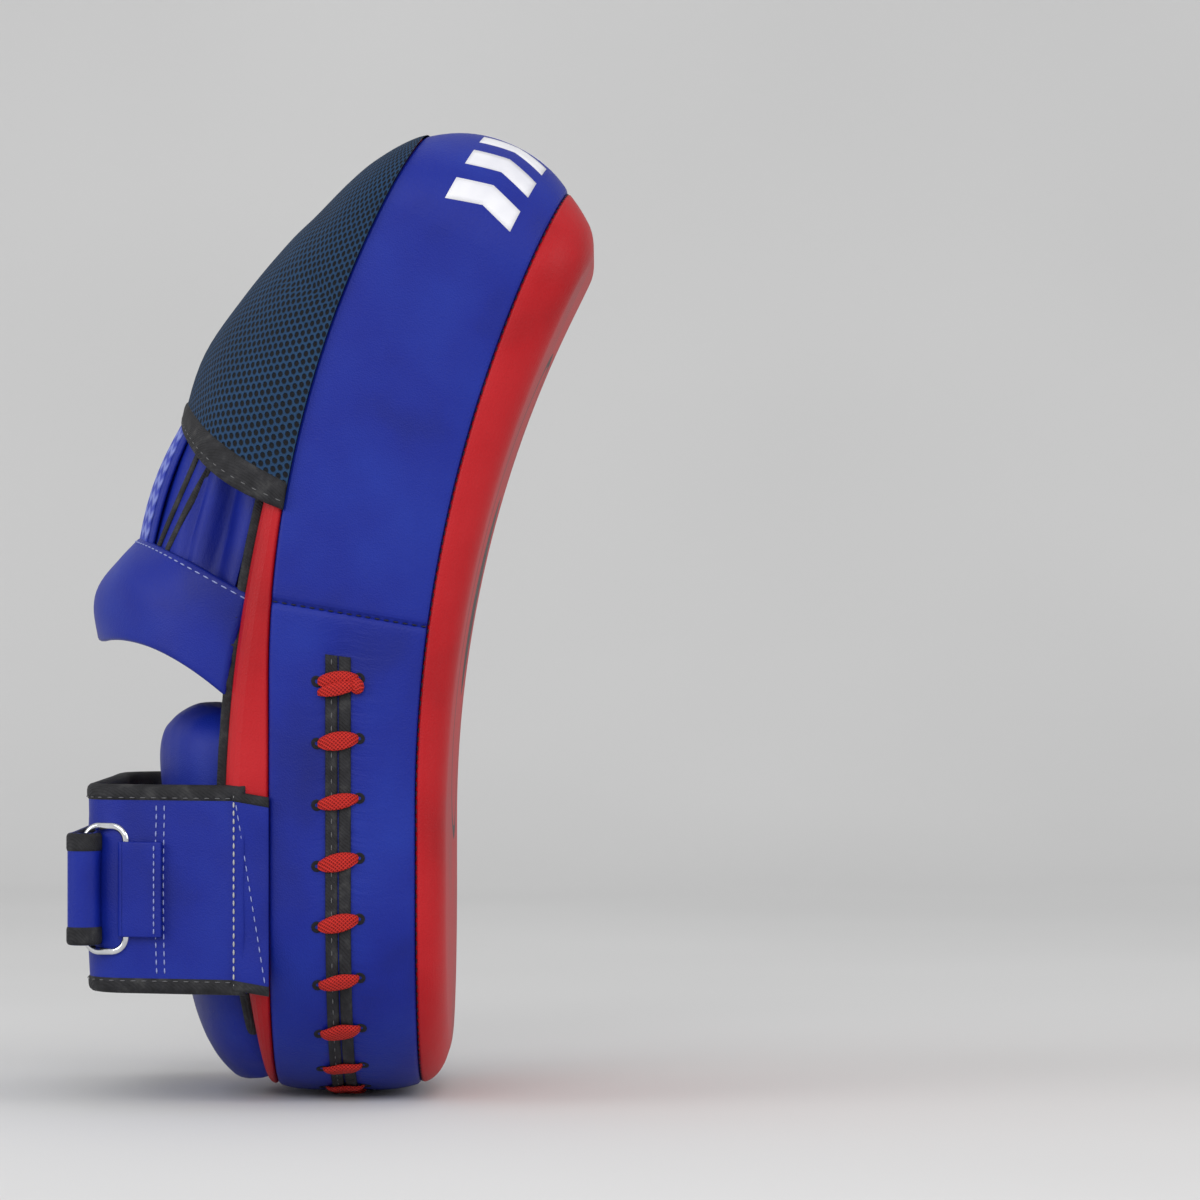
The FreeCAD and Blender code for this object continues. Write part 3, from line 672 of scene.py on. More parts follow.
def lace_point(s0, lift, lean, swell):
    """One crossing of the flat braid: narrow in the holes, wide over the bound edges."""

    def place(turn, share):
        a = 2 * math.pi * turn
        cross = share * 2 - 1
        x = OPENING_X + cross * 8.6
        body = max(0.0, 1 - abs(cross) ** 2.6) ** 0.6
        half_width = 0.7 + swell * max(0.0, 1 - cross**2) ** 0.75
        s = s0 + cross * lean + half_width * math.cos(a) * 0.98
        rise = -1.2 + (lift + 1.2) * body + 0.85 * math.sin(a) * (0.4 + body)
        rise += 0.25 * math.cos(3 * a) * body
        return on_band(s, depth_at_x(s, x), rise)

    return place


for count, s0 in enumerate(lace_places):
    far_side = -1 if s0 > HALF_LOOP else 1
    lean = -LACE_LEAN * far_side
    for cross in (-1, 1):
        rim = hole_point(s0 + cross * lean, OPENING_X + cross * HOLE_OUT)
        hole_pieces.append(shaped(f"hole_{count}_{cross}", steps(0, 1, 3), steps(0, 1, 12), rim))
    braid = lace_point(s0, 2.3, lean, 2.9 + 0.35 * math.sin(count * 2.3))
    lace_pieces.append(shaped(f"crossing_{count}", steps(0, 1, 14), steps(0, 1, 18), braid))
SECOND_PASS, SECOND_LEAN = 3.4, 2.6  # the lace crosses twice at each end of the opening
for count, s0 in (
    (CROSSINGS, lace_places[0] + SECOND_PASS),
    (CROSSINGS + 1, lace_places[-1] - SECOND_PASS),
):
    braid = lace_point(s0, 3.3, -SECOND_LEAN if s0 < HALF_LOOP else SECOND_LEAN, 2.1)
    lace_pieces.append(shaped(f"crossing_{count}", steps(0, 1, 14), steps(0, 1, 18), braid))


def knot_point(turn, share):
    a, b = 2 * math.pi * turn, math.pi * (share - 0.5)
    s = lace_places[0] + 1.5 + 3.4 * math.cos(b) * math.cos(a)
    x = OPENING_X + 7.4 + 3.1 * math.sin(b)
    return on_band(s, depth_at_x(s, x), 1.6 + 1.9 * math.cos(b) * math.sin(a))


lace_pieces.append(shaped("knot", steps(0, 1, 12), steps(0, 1, 8), knot_point))


def joined(pieces, name):
    """Makes one piece of several, named for the first."""
    bpy.ops.object.select_all(action="DESELECT")
    for piece in pieces:
        piece.select_set(True)
    bpy.context.view_layer.objects.active = pieces[0]
    bpy.ops.object.join()
    pieces[0].name = pieces[0].data.name = name
    return pieces[0]


# The holes are shallow near-black discs laid on the band. Their colour is painted shade, standing in for the
# shadowed inside of each punched hole.
holes = joined(hole_pieces, "lace_holes")
close_up(holes, 0.0003)
hole_shade_look = finish(
    "punched_hole_painted_shade",
    linear(8, 8, 14),
    0.9,
    lambda places: {
        "Base Color": places.noise(900, 2).ramp((0.3, linear(4, 4, 8)), (0.7, linear(16, 16, 30)))
    },
)
give(holes, hole_shade_look)
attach(holes, "pad")


def braid_look(places):
    """Flat braid of soft red yarn: two sets of strands over and under."""
    u, v, _ = places.split()
    one = ((u + v) * 3900.0).math("SINE")
    two = ((u - v) * 3900.0).math("SINE")
    weave = one.math("MAXIMUM", two)
    fuzz = places.noise(1500, 3)
    return {
        "Base Color": (weave * 0.35 + fuzz * 0.5).mix(linear(150, 14, 16), linear(250, 64, 52)),
        "height": (weave + fuzz * 0.6, 0.8, 0.0006),
    }


red_braid = finish("red_braided_lace", linear(232, 44, 38), 0.75, braid_look, "UV", Specular_IOR_Level=0.25)
lace = joined(lace_pieces, "braided_lace")
close_up(lace)
give(lace, red_braid)
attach(lace, "pad")
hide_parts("lace")


def opening_stitch_line(t):
    s = OPENING_S + t
    return on_band(s, depth_at_x(s, OPENING_X - 2.6), 1.35), outward(s)


opening_length = opening_span[1] - opening_span[0]
stitches("opening_stitches", (opening_stitch_line, opening_length), 5.2, 2.4, 0.24, grey_thread)

# ---- Hood ----
# A dome of navy spacer mesh over the finger tips, sewn into the rear seam of the side band
# and closed at its open end with a wide black binding. A dart on each side shapes it.
HOOD_SECTIONS = (  # place of the feet along the outline, direction in degrees, height
    (240, 140, 58),
    (209, 144, 53),
    (179, 146, 43),
    (154, 142.5, 33.5),
    (132, 158, 26),
    (114, 168.5, 21),
    (100, 176, 17),
    (84, 185, 12),
    (66, 190, 6.8),
    (50, 184, 2.6),
)


def between(sections, place):
    """Smoothly in between the sections, at a place counted in sections."""
    i = min(int(place), len(sections) - 2)
    f = place - i
    points = [sections[max(0, min(len(sections) - 1, i + k))] for k in (-1, 0, 1, 2)]
    weights = (
        -0.5 * f + f * f - 0.5 * f**3,
        1 - 2.5 * f * f + 1.5 * f**3,
        0.5 * f + 2 * f * f - 1.5 * f**3,
        -0.5 * f * f + 0.5 * f**3,
    )
    return [sum(w * p[k] for w, p in zip(weights, points)) for k in range(len(sections[0]))]


def arch(x, z, angle, half_width, height, t, square=2.0):
    """Point on an arch over the rear face, t from -1 on the near side to 1 on the far side."""
    a = math.pi / 2 * (1 - t)
    c, s = math.cos(a), math.sin(a)
    y = half_width * math.copysign(abs(c) ** (2 / square), c)
    rise = height * max(0.0, s) ** (2 / square)
    lean = math.radians(angle)
    return (x + rise * math.cos(lean), y, z + rise * math.sin(lean))


HOOD_LENGTH = 203.0


def hood_surface(w, t):
    place = (HOOD_LENGTH - w) / HOOD_LENGTH * (len(HOOD_SECTIONS) - 1)
    s, angle, height = between(HOOD_SECTIONS, place)
    last = max(0, place - 5)
    x, y, z = on_band(s, seams_at(s)[1] - 0.6 - 0.35 * last, 0.6 - 0.45 * last)
    dart = math.exp(-(((place - 2.35 - 0.35 * abs(t)) / 0.09) ** 2)) * max(0, abs(t) - 0.5)
    ripple = 0.012 * abs(t) * (math.sin(9 * t + place * 2.2) + math.sin(15 * t - place * 3.1))
    height *= 1 - 0.5 * dart + ripple
    x, y, z = arch(x, z, angle, -y, height, t, 2.3)
    rise = math.cos(math.pi / 2 * t)
    sag = 26 * rise * (1 - rise) * max(0, 1 - place / 1.6) ** 2
    return (x - 0.64 * sag, y, z - 0.77 * sag)


hood_ts = steps(-1, 1, 84, (0.006, 0.014))
hood = strip("mesh_hood", hood_surface, HOOD_LENGTH, 2.6, hood_ts, 54, False)


def spacer_look(places):
    """Spacer mesh: staggered oval holes between knitted ribs, with a dark cloth behind."""
    u, v, _ = places.split()
    rows = v / 0.0029
    row = rows.math("FLOOR")
    shift = row.math("MODULO", 2.0) * 0.5
    across = (u / 0.0034 + shift).math("FRACT") - 0.5
    up = rows.math("FRACT") - 0.5
    away = (across * across * 1.25 + up * up * 0.9).math("SQRT")
    hole = (away * -7.0 + 2.95).math("MAXIMUM", 0.0).math("MINIMUM", 1.0)
    yarn = places.noise(2300, 2)
    cloud = places.noise(26, 3)
    rib = (cloud * 0.6 + yarn * 0.5).mix(linear(14, 38, 66), linear(36, 74, 112))
    return {
        "Base Color": hole.mix(rib, linear(4, 7, 14)),
        "Roughness": 0.72 + yarn * 0.2,
        "height": ((1 - hole) * 1.6 + yarn * 0.35, 0.9, 0.0011),
    }


mesh_cloth = finish("navy_spacer_mesh", linear(34, 56, 84), 0.8, spacer_look, "UV", Specular_IOR_Level=0.3)
give(hood, mesh_cloth)
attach(hood, "pad")
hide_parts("hood")


HOOD_BINDING, BINDING_OVER = 10.0, 1.0  # its width, and how far it stands past the mesh


def hood_edge_surface(w, t):
    return hood_surface(HOOD_LENGTH - HOOD_BINDING + BINDING_OVER + w, t)


edge_ts = steps(-1, 1, 70, (0.006, 0.014))
hood_edge = strip("hood_edge_binding", hood_edge_surface, HOOD_BINDING, 4.6, edge_ts, 5)
give(hood_edge, black_tape)
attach(hood_edge, "pad")
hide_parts("hood_binding")


def lifted(surface, w, out):
    """A line on a surface at a width w, raised by out, for stitches with t from 0 in mm."""
    spots = [Vector(surface(w, -1 + i / 60)) for i in range(121)]
    lengths = [0.0]
    for a, b in zip(spots, spots[1:]):
        lengths.append(lengths[-1] + (b - a).length)

    def place(mm):
        i = max(0, min(119, next((k for k in range(1, 121) if lengths[k] >= mm), 120) - 1))
        f = (mm - lengths[i]) / max(1e-6, lengths[i + 1] - lengths[i])
        t = -1 + (i + f) / 60
        t_low, t_high = max(-1, t - 0.01), min(1, t + 0.01)
        a, b = Vector(surface(w - 0.3, t)), Vector(surface(w + 0.3, t))
        c, d = Vector(surface(w, t_low)), Vector(surface(w, t_high))
        normal = (b - a).cross(d - c).normalized()
        return spots[i].lerp(spots[i + 1], f) + normal * out, normal

    return place, lengths[-1]


stitches("hood_edge_stitches", lifted(hood_edge_surface, 6.4, 2.25), 5.0, 2.4, 0.25, grey_thread)
stitches("hood_edge_stitches_inner", lifted(hood_edge_surface, 6.4, -2.25), 5.0, 2.4, 0.25, grey_thread)

# ---- Finger compartment ----
# Blue leather behind which the fingers lie: a broad folded band over the knuckles, a panel
# above it with bound edges, which also closes the sides, and a narrow strap with woven tape.
BAND_SECTIONS = (
    (-27, 206, 155, 84, 53),
    (-30, 196, 157, 84, 60),
    (-33, 186, 158, 84, 63),
    (-35, 176, 159, 84, 63),
    (-37, 165, 159, 84, 60),
)
BAND_WIDTH = 42.0


def finger_band_surface(w, t):
    x, z, angle, half_width, height = between(BAND_SECTIONS, (BAND_WIDTH - w) / BAND_WIDTH * 4)
    crease = 0.6 * math.sin(5 * t + w * 0.16) + 0.5 * math.sin(11 * t - w * 0.22)
    x, y, z = arch(x, z, angle, half_width, height + crease, t, 2.1)
    rise = math.cos(math.pi / 2 * t)
    lift = 7.5 * 4 * rise * (1 - rise) * (1 - w / BAND_WIDTH) ** 0.7
    return (x, y, z + lift)


finger_band = strip("knuckle_band", finger_band_surface, BAND_WIDTH, 5.0, steps(-1, 1, 80), 20)
give(finger_band, blue)
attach(finger_band, "pad")
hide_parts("finger_band")
band_stitch_line = lifted(finger_band_surface, BAND_WIDTH - 3.6, 2.6)
stitches("knuckle_band_stitches", band_stitch_line, 4.2, 3.0, 0.34, pale_thread)

PANEL_WIDTH = 62


def panel_surface(w, t):
    """Between the knuckle band and the hood, w from 0 below to PANEL_WIDTH above."""
    f = w / PANEL_WIDTH
    x, z = -29 + 15 * f, 199 + 54 * f
    place = abs(t) + 0.07 * f
    dent = math.exp(-(((place - 0.8) / 0.075) ** 2)) + 0.45 * math.exp(-(((place - 0.63) / 0.035) ** 2))
    height = 51 - 2 * f + 2 * math.sin(math.pi * f) + 0.6 * math.sin(7 * t + 4 * f)
    x, y, z = arch(x, z, 156 - 12 * f, 83, height, t, 2.15)
    pull = dent * math.sin(math.pi * (0.12 + 0.8 * f))
    return (x + 2.5 * pull, y - math.copysign(10 * pull, t), z - 1.5 * pull)


panel = strip("finger_panel_leather", panel_surface, PANEL_WIDTH, 1.6, steps(-0.93, 0.93, 60), 22)
give(panel, blue)
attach(panel, "pad")
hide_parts("finger_panel", "finger_gusset_near", "finger_gusset_far")
EDGE_WIDTH = 3.4
for word, side in (("near", -1), ("far", 1)):
    for layer, t_low, t_high, out in (("outer", 0.56, 0.6, 1.0), ("inner", 0.47, 0.505, 1.4)):

        def edge_line(w, t, side=side, t_low=t_low, t_high=t_high, out=out):
            at = t_low + (t_high - t_low) * w / EDGE_WIDTH - 0.14 * (1 - t) ** 2
            lift = Vector((-1, 0, -0.4)).normalized() * out
            return Vector(panel_surface(PANEL_WIDTH * t, side * at)) + lift

        edge = strip(f"panel_edge_{layer}_{word}", edge_line, EDGE_WIDTH, 1.8, steps(0, 1, 24), 3)
        give(edge, black_tape)
        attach(edge, "pad")


FINGER_STRAP, WOVEN_TAPE = 54, 46  # widths of the strap and of the tape on it


def strap_surface(w, t):
    """Narrow strap up the back of the fingers, t up its length, w across it."""
    x, y, z = panel_surface(PANEL_WIDTH * t, (2 * w / FINGER_STRAP - 1) * 0.34)
    lift = 2.2 + 1.2 * math.sin(math.pi * t)
    return (x - lift, y, z - 0.35 * lift)


finger_strap = strip("finger_strap_leather", strap_surface, FINGER_STRAP, 2.0, steps(0, 1, 24), 14)
give(finger_strap, blue)
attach(finger_strap, "pad")
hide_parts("finger_strap")


def tape_surface(w, t):
    x, y, z = strap_surface(w + (FINGER_STRAP - WOVEN_TAPE) / 2, 0.02 + 0.96 * t)
    return (x - 1.5, y, z - 0.5)


def zigzag_look(places):
    """Woven tape in pale blue with a herringbone weave."""
    u, v, _ = places.split()
    fold = (u / 0.005).math("PINGPONG", 1.0)
    lines = ((v / 0.0011) + fold * 3.0).math("SINE")
    fuzz = places.noise(1800, 2)
    return {
        "Base Color": (lines * 0.4 + fuzz * 0.5 + 0.1).mix(linear(60, 72, 170), linear(140, 152, 214)),
        "height": (lines + fuzz * 0.6, 0.7, 0.0005),
    }


woven_tape = finish("pale_woven_tape", linear(104, 116, 190), 0.8, zigzag_look, "UV", Specular_IOR_Level=0.25)
finger_tape = strip("finger_strap_woven_tape", tape_surface, WOVEN_TAPE, 1.0, steps(0, 1, 20), 10)
give(finger_tape, woven_tape)
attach(finger_tape, "pad")
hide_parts("finger_strap_tape")

# ---- Palm bar ----
# A firm roll of foam in blue leather, sewn across the rear face inside the compartment.
# The hand closes round it. Its ends are gathered and turned in.
bar_low, bar_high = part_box("palm_bar_cover")
bpy.ops.object.select_all(action="DESELECT")
bar_middle = ((bar_low.x + bar_high.x) / 2, 0, (bar_low.z + bar_high.z) / 2)
bpy.ops.mesh.primitive_cylinder_add(
    vertices=32, radius=0.0128, depth=0.114, location=bar_middle, rotation=(math.pi / 2, 0, 0)
)
palm_bar = bpy.context.object
palm_bar.name = palm_bar.data.name = "palm_bar_roll"
bpy.ops.object.transform_apply(location=True, rotation=True, scale=True)
bpy.ops.object.mode_set(mode="EDIT")
bpy.ops.mesh.select_all(action="SELECT")
bpy.ops.mesh.bevel(offset=0.004, segments=4)
bpy.ops.object.mode_set(mode="OBJECT")
bpy.ops.object.shade_smooth()
give(palm_bar, blue)
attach(palm_bar, "pad")
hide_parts("palm_bar_cover", "palm_bar_foam")

# ---- Wrist cushion ----
# A stuffed blue cushion on the rear face under the cuff, seen above and below it. It is
# full in the middle, drawn in at its seams, and its skin wrinkles under the top seam.
CUSHION_SECTIONS = (
    (-27, 158, 172, 60, 26),
    (-31, 147, 176, 76, 39),
    (-32, 118, 180, 77, 37),
    (-30, 76, 180, 77, 34),
    (-24, 40, 182, 70, 33),
    (-18, 22, 188, 56, 31),
    (-14, 11, 196, 42, 24),
)


def cushion_point(t, place):
    """Over the cushion for t from -1 to 1, and back across its flat side up to 3."""
    x, z, angle, half_width, height = between(CUSHION_SECTIONS, min(6, max(0, place)))
    x += 3
    if place in (-1, 7):
        return arch(x, z, angle, 0, height * 0.45, 0)
    if t > 1:
        return (x, (half_width - 1.5) * (2 - t), z)
    near_top = math.exp(-place / 0.5)
    pucker = 1.3 * math.sin(16 * t) * near_top * (1 - near_top) * 4
    return arch(x, z, angle, half_width - 1.5, height - 1.5 + pucker, t, 2.35)


cushion_ts = [*steps(-1, 1, 60), *(1 + 0.1 * i for i in range(1, 21))]
cushion = shaped("wrist_cushion", cushion_ts, [-1, *steps(0, 6, 48), 7], cushion_point)
close_up(cushion)


def inflate(piece, voxel, pressure, cap):
    """Stuffs a piece: its skin is blown up like cloth, and no point moves more than cap."""
    bpy.ops.object.select_all(action="DESELECT")
    piece.select_set(True)
    bpy.context.view_layer.objects.active = piece
    skin = piece.modifiers.new("remesh", "REMESH")
    skin.mode, skin.voxel_size = "VOXEL", voxel
    bpy.ops.object.modifier_apply(modifier="remesh")
    rest = [vertex.co.copy() for vertex in piece.data.vertices]
    cloth = piece.modifiers.new("cloth", "CLOTH")
    cloth.settings.use_pressure = True
    cloth.settings.uniform_pressure_force = pressure
    cloth.settings.effector_weights.gravity = 0
    scene = bpy.context.scene
    for step in range(1, 21):
        scene.frame_set(step)
    bpy.ops.object.modifier_apply(modifier="cloth")
    scene.frame_set(1)
    for vertex, start in zip(piece.data.vertices, rest):
        moved = vertex.co - start
        if moved.length > cap:
            vertex.co = start + moved.normalized() * cap
    soft = piece.modifiers.new("smooth", "SMOOTH")
    soft.factor, soft.iterations = 0.5, 3
    bpy.ops.object.modifier_apply(modifier="smooth")
    fine = piece.modifiers.new("fine", "SUBSURF")
    fine.levels = fine.render_levels = 1
    bpy.ops.object.modifier_apply(modifier="fine")
    bpy.ops.object.shade_smooth()


inflate(cushion, 0.004, 4.0, 0.003)
give(cushion, blue)
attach(cushion, "pad")
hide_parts("wrist_cushion_cover", "wrist_cushion_foam")

# ---- Piping ----
# Black piping closes the edges where the hand compartment and the wrist cushion are sewn
# to the rear face, on both sides.


def piping_line(side, low, high):
    def surface(w, t):
        length = low + (high - low) * t
        wobble = 0.35 * math.sin(length * 0.5) + 0.25 * math.sin(length * 1.3)
        y = 84.5 + wobble
        if length < 83:
            a = (83 - length) / 68
            y = 16.5 + (68 + wobble) * math.cos(a)
            length = 83 - 68 * math.sin(a)
        return bent(side * y, length, rear_depth(length) + w - 0.8)

    return surface


for word, side in (("near", -1), ("far", 1)):
    for part, low, high in (("finger", 156.5, 240), ("wrist", -6, 158)):
        cord = strip(f"{part}_edge_piping_{word}", piping_line(side, low, high), 4.6, 3.0, steps(0, 1, 90), 3)
        give(cord, black_tape)
        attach(cord, "pad")
        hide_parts(f"{part}_piping_{word}")

# ---- Cuff ----
# A broad blue strap round the wrist, bound in black along both edges, sewn on both sides
# of the pad under a stitched patch. Two rows of pale thread hold its stiffener.
CUFF_FRONT, CUFF_CORNER_X = (-28.0, 94.0), -91.0
CUFF_CORNER_Y, CUFF_BEND = 76.0, 15.0
CUFF_LOW, CUFF_HIGH = 47.0, 129.0


def plan_route(corners, bends):
    """Points of a plan line through corners, each rounded by its bend length."""
    points = [Vector(corners[0])]
    for before, corner, after, bend in zip(corners, corners[1:], corners[2:], bends):
        corner = Vector(corner)
        a = (Vector(before) - corner).normalized() * bend
        b = (Vector(after) - corner).normalized() * bend
        for i in range(13):
            f = i / 12
            points.append(corner + a * (1 - f) ** 2 + b * f**2)
    points.append(Vector(corners[-1]))
    lengths = [0.0]
    for a, b in zip(points, points[1:]):
        lengths.append(lengths[-1] + (b - a).length)

    def at(mm):
        i = max(1, next((k for k in range(1, len(lengths)) if lengths[k] >= mm), len(lengths) - 1))
        f = (mm - lengths[i - 1]) / max(1e-6, lengths[i] - lengths[i - 1])
        return points[i - 1].lerp(points[i], f)

    return at, lengths[-1]


cuff_route, cuff_length = plan_route(
    (
        (CUFF_FRONT[0], -CUFF_FRONT[1]),
        (CUFF_CORNER_X, -CUFF_CORNER_Y),
        (CUFF_CORNER_X, CUFF_CORNER_Y),
        (CUFF_FRONT[0], CUFF_FRONT[1]),
    ),
    (CUFF_BEND, CUFF_BEND),
)


def cuff_surface(w, t):
    x, y = cuff_route(t)
    f = w / (CUFF_HIGH - CUFF_LOW)
    belly = 1.4 * math.sin(math.pi * f) - 0.7 * math.exp(-(((f - 0.5) / 0.35) ** 2)) * math.sin(t * 0.09)
    pull = 1 + belly / 90
    flare = 2.0 * max(0, f - 0.85) / 0.15 * max(0, 1 - abs(t - 60) / 60)
    return (x * pull - flare * 0.5, y * pull, CUFF_LOW + w)


cuff = strip("wrist_cuff", cuff_surface, CUFF_HIGH - CUFF_LOW, 4.0, steps(0, cuff_length, 110), 24)
give(cuff, blue)
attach(cuff, "pad")
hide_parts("cuff")
for word, w_low in (("lower", -0.8), ("upper", CUFF_HIGH - CUFF_LOW - 6.6)):

    def rim_surface(w, t, w_low=w_low):
        return cuff_surface(w + w_low, t)

    rim = strip(f"cuff_rim_{word}", rim_surface, 7.4, 5.4, steps(0, cuff_length, 110), 5)
    give(rim, black_tape)
    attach(rim, "pad")
    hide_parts(f"cuff_binding_{word}")


def plan_line(surface, w, out, length):
    """Stitch line along t at a width w on a surface with t in mm."""

    def place(mm):
        t = min(length - 0.2, max(0.2, mm))
        a, b = Vector(surface(w - 0.3, t)), Vector(surface(w + 0.3, t))
        c, d = Vector(surface(w, t - 0.2)), Vector(surface(w, t + 0.2))
        normal = (b - a).cross(d - c).normalized()
        return Vector(surface(w, t)) + normal * out, normal

    return place, length


def rising_line(surface, t, low, high, out):
    """Stitch line up the width of a surface at a place t."""

    def place(mm):
        w = low + mm
        a, b = Vector(surface(w - 0.3, t)), Vector(surface(w + 0.3, t))
        c, d = Vector(surface(w, t - 0.3)), Vector(surface(w, t + 0.3))
        normal = (b - a).cross(d - c).normalized()
        return Vector(surface(w, t)) + normal * out, normal

    return place, high - low


outer = -2.15 if (Vector(cuff_surface(41.3, 30)) - Vector(cuff_surface(40.7, 30))).cross(
    Vector(cuff_surface(41, 31)) - Vector(cuff_surface(41, 29))
).y > 0 else 2.15
for count, t in enumerate((33.5, 36.8)):
    for word, at in (("", t), ("far_", cuff_length - t)):
        upright = rising_line(cuff_surface, at, 7, 75, outer)
        stitches(f"cuff_upright_stitches_{word}{count + 1}", upright, 3.4, 2.4, 0.32, pale_thread)
for word, w in (("lower", 4.6), ("upper", CUFF_HIGH - CUFF_LOW - 4.6)):
    rim_line = plan_line(cuff_surface, w, outer * 1.3, cuff_length)
    stitches(f"cuff_rim_stitches_{word}", rim_line, 4.4, 2.4, 0.25, grey_thread)
PATCH_HEIGHT = 78

for word, side in (("near", -1), ("far", 1)):

    def patch_surface(w, t, side=side):
        x = -33.5 + 14.5 * t
        z = CUFF_LOW + 2 + w - 2.5 * t
        y = 96.2 - 1.4 * (1 - t) + 0.25 * math.sin(w * 0.2)
        return (x, side * y, z)

    patch = strip(f"anchor_patch_{word}", patch_surface, PATCH_HEIGHT, 2.2, steps(0, 1, 10), 24)
    give(patch, blue)
    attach(patch, "pad")
    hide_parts(f"cuff_anchor_{word}")
    for edge, w_low in (("lower", -0.6), ("upper", 74.2)):

        def patch_rim(w, t, w_low=w_low, side=side):
            x, y, z = patch_surface(w + w_low, t, side)
            return (x, y + side * 0.3, z)

        rim = strip(f"anchor_rim_{edge}_{word}", patch_rim, 4.4, 2.8, steps(0, 1, 10), 4)
        give(rim, black_tape)
        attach(rim, "pad")

    def seam_up(mm, side=side):
        x, y, z = patch_surface(mm, 0.04, side)
        return (x, y + side * 1.35, z), (0, side, 0)

    def seam_slant(mm, side=side):
        x, y, z = patch_surface(PATCH_HEIGHT - mm, 0.05 + 0.9 * mm / PATCH_HEIGHT, side)
        return (x, y + side * 1.35, z), (0, side, 0)

    stitches(f"anchor_seam_{word}", (seam_up, PATCH_HEIGHT), 3.2, 2.4, 0.42, white_thread)
    stitches(f"anchor_slant_stitches_{word}", (seam_slant, PATCH_HEIGHT), 3.8, 2.6, 0.28, pale_thread)

# ---- Ring, keeper and closing strap ----
# A chromed wire ring sits in a sewn leather keeper on the buckle side. The closing strap is
# sewn across the back of the cuff, goes round the ring's outer bar and comes back on itself,
# held by hook and loop tape. Both its edges are bound in black.


def chrome_look(places):
    smears = places.noise(160, 4)
    return {
        "Base Color": smears.ramp((0.3, linear(205, 207, 210)), (0.7, linear(232, 233, 236))),
        "Roughness": 0.08 + smears * 0.16,
        "height": (places.noise(900, 2), 0.06, 0.0003),
    }


chrome = finish("bright_chrome", linear(225, 226, 229), 0.14, chrome_look, Metallic=1.0)
ring = bpy.data.objects["strap_ring"]
ring.material_slots[0].material = chrome

CLOSING_MIDDLE, CLOSING_WIDTH, CLOSING_WALL = 88, 45, 2.6
KEEPER_WIDTH = 38
keeper_route, keeper_length = plan_route(
    ((-62.0, -88.1), (-74.6, -84.7), (-79.6, -83.2), (-79.0, -86.4), (-75.2, -86.7), (-62.2, -90.0)),
    (3.0, 1.6, 1.6, 3.0),
)


def keeper_surface(w, t):
    x, y = keeper_route(t)
    return (x, y, CLOSING_MIDDLE - KEEPER_WIDTH / 2 + w)


keeper = strip("leather_keeper", keeper_surface, KEEPER_WIDTH, 1.3, steps(0, keeper_length, 50), 10)
give(keeper, blue)
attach(keeper, "pad")
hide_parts("ring_keeper")


def keeper_stitch(mm):
    return (-65.2, -90.2, CLOSING_MIDDLE - 18 + mm), (-0.27, -0.96, 0)


stitches("keeper_stitches", (keeper_stitch, 36), 3.0, 2.2, 0.32, pale_thread)

strap_route, strap_length = plan_route(
    (
        (-92.6, 66.0),
        (-92.6, -62.0),
        (-88.0, -78.0),
        (-89.4, -84.0),
        (-94.6, -86.2),
        (-99.4, -83.6),
        (-98.6, -76.5),
    ),
    (8.0, 2.8, 2.8, 2.8, 2.8),
)
flap_route, flap_length = plan_route(((-98.6, -77.5), (-98.2, -64.0), (-97.9, 26.0)), (8.0,))


STRAP_BINDING = 8.0


def bound_strap(name, route, length, body, nodes, count):
    """A strap of blue leather with a black bound edge above and below."""

    def surface(w, t):
        x, y = route(t)
        return (x, y, CLOSING_MIDDLE - CLOSING_WIDTH / 2 + w)

    middle = strip(f"{name}_leather", surface, CLOSING_WIDTH, CLOSING_WALL, steps(0, length, count), 12)
    give(middle, blue)
    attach(middle, body)
    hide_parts(*nodes)
    for edge, w_low in (("lower", 0), ("upper", CLOSING_WIDTH - STRAP_BINDING)):

        def rim_surface(w, t, w_low=w_low):
            return surface(w + w_low, t)

        wall = CLOSING_WALL + 0.9
        rim = strip(
            f"{name}_binding_{edge}", rim_surface, STRAP_BINDING, wall, steps(0, length, count), 5
        )
        give(rim, black_tape)
        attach(rim, body)


strap_nodes = ("closing_strap", "closing_strap_turn")
bound_strap("closing_strap_round_ring", strap_route, strap_length, "pad", strap_nodes, 110)
bound_strap("closing_flap_end", flap_route, flap_length, "flap", ("closing_flap",), 60)


def pile_look(places):
    """Loop tape: a mat of soft curled pile."""
    curls = places.cells(1900)
    fuzz = places.noise(1200, 3)
    return {
        "Base Color": (curls * 0.7 + fuzz * 0.4).mix(linear(20, 20, 24), linear(66, 66, 72)),
        "height": (curls + fuzz, 0.9, 0.0008),
    }


def hook_look(places):
    """Hook tape: rows of small stiff hooks on a smooth back."""
    dots = places.cells(900)
    return {
        "Base Color": dots.ramp((0.15, linear(70, 70, 74)), (0.4, linear(24, 24, 27))),
        "height": (1 - dots, 0.9, 0.0009),
    }


loop_tape = finish("loop_tape_pile", linear(36, 36, 40), 0.95, pile_look, Specular_IOR_Level=0.1)
hook_tape = finish("hook_tape_rows", linear(40, 40, 44), 0.55, hook_look)
for node, material in (("closing_strap_loop_tape", loop_tape), ("closing_flap_hook_tape", hook_tape)):
    bpy.data.objects[node].material_slots[0].material = material

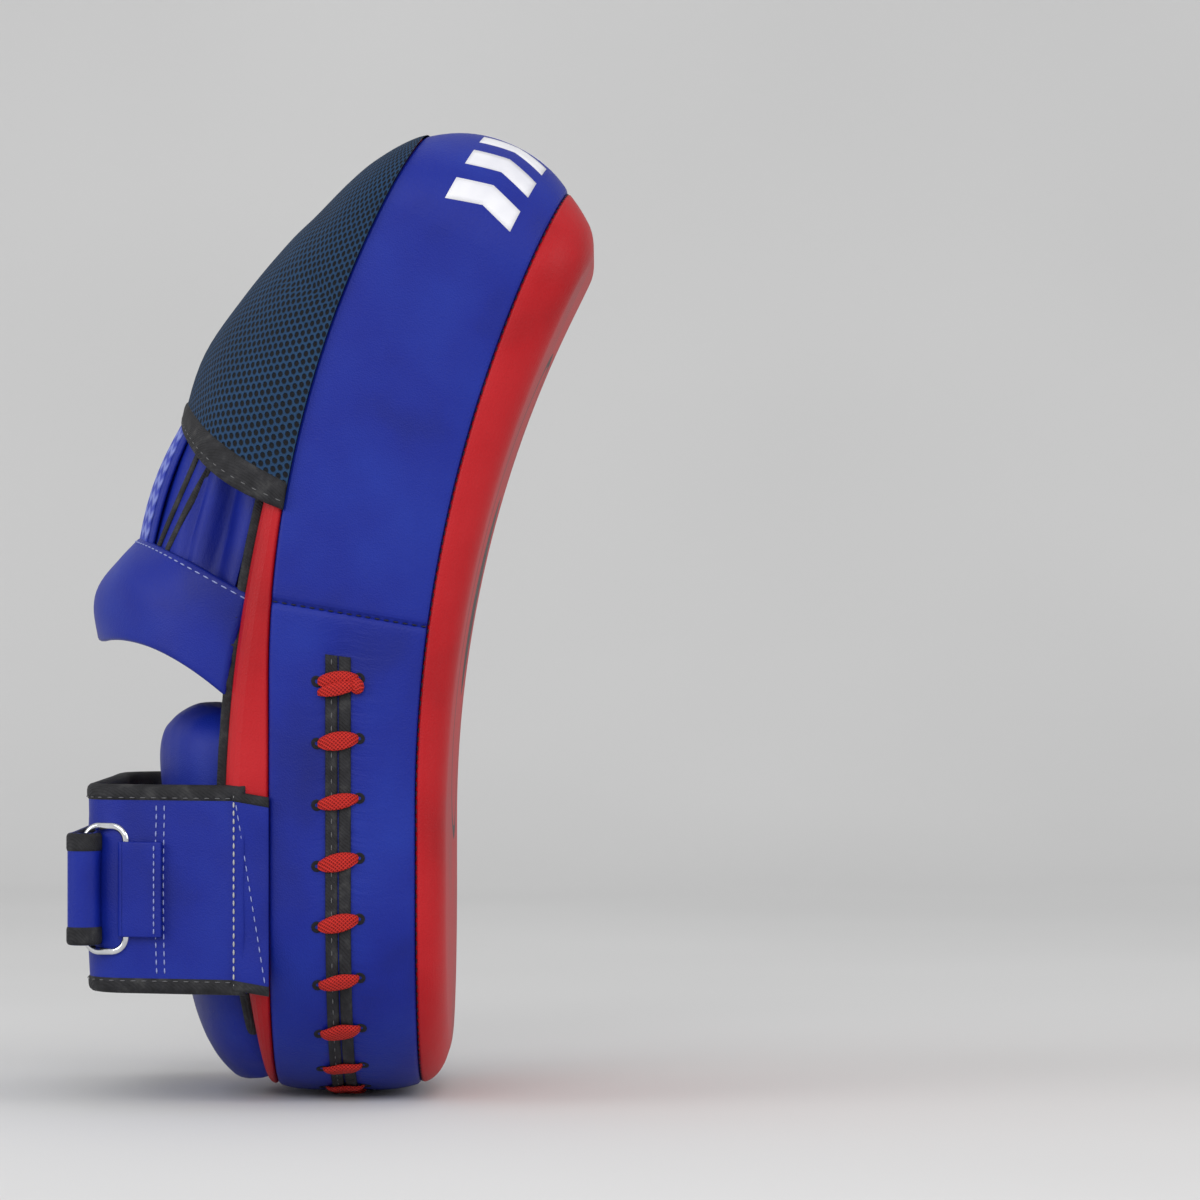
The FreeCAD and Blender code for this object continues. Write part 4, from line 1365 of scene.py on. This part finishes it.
# ---- Setting ----
# A pale floor that turns up into a plain pale wall, large soft lights, and a level camera
# looking at the buckle side.
bpy.ops.object.select_all(action="DESELECT")
bpy.ops.mesh.primitive_grid_add(x_subdivisions=1, y_subdivisions=40, size=1)
floor = bpy.context.object
floor.name = floor.data.name = "floor"
for vertex in floor.data.vertices:
    run = (vertex.co.y + 0.5) * 9.0 - 4.0
    rise = max(0.0, run - 1.6)
    bend = min(1.0, rise / 1.4)
    height = 1.4 * (1 - math.cos(bend * math.pi / 2)) * 0.9 + max(0.0, rise - 1.4)
    depth = min(run, 1.6) + 1.4 * math.sin(bend * math.pi / 2) * 0.7
    vertex.co = (vertex.co.x * 14, depth, height)
bpy.ops.object.shade_smooth()
pale = finish(
    "pale_floor",
    linear(214, 214, 214),
    0.9,
    lambda places: {
        "Base Color": places.noise(1.5, 2).ramp((0.3, linear(210, 210, 210)), (0.7, linear(216, 216, 216)))
    },
    Specular_IOR_Level=0.1,
)
give(floor, pale)

world = bpy.data.worlds.new("studio")
bpy.context.scene.world = world
world.use_nodes = True
world.node_tree.nodes["Background"].inputs["Color"].default_value = (1, 1, 1, 1)
world.node_tree.nodes["Background"].inputs["Strength"].default_value = 0.63


def soft_light(name, place, aim, size, power):
    bpy.ops.object.light_add(type="AREA", location=place)
    light = bpy.context.object
    light.name = name
    light.data.size = size
    light.data.energy = power
    light.rotation_euler = (Vector(aim) - Vector(place)).to_track_quat("-Z", "Y").to_euler()


soft_light("light_front", (-0.3, -2.4, 1.7), (0, 0, 0.2), 1.8, 26)
soft_light("light_left", (-2.0, -0.9, 1.0), (0, 0, 0.2), 1.2, 15)
soft_light("light_right", (2.0, -1.2, 1.2), (0, 0, 0.2), 1.2, 15)
soft_light("light_top", (0.2, 0.4, 2.4), (0, 0, 0.2), 1.6, 5)

bpy.ops.object.camera_add(location=(0.107, -2.2, 0.2034), rotation=(math.pi / 2, 0, 0))
camera = bpy.context.object
camera.data.sensor_width = 36
camera.data.lens = 36 * 2.2 / 0.498
bpy.context.scene.camera = camera
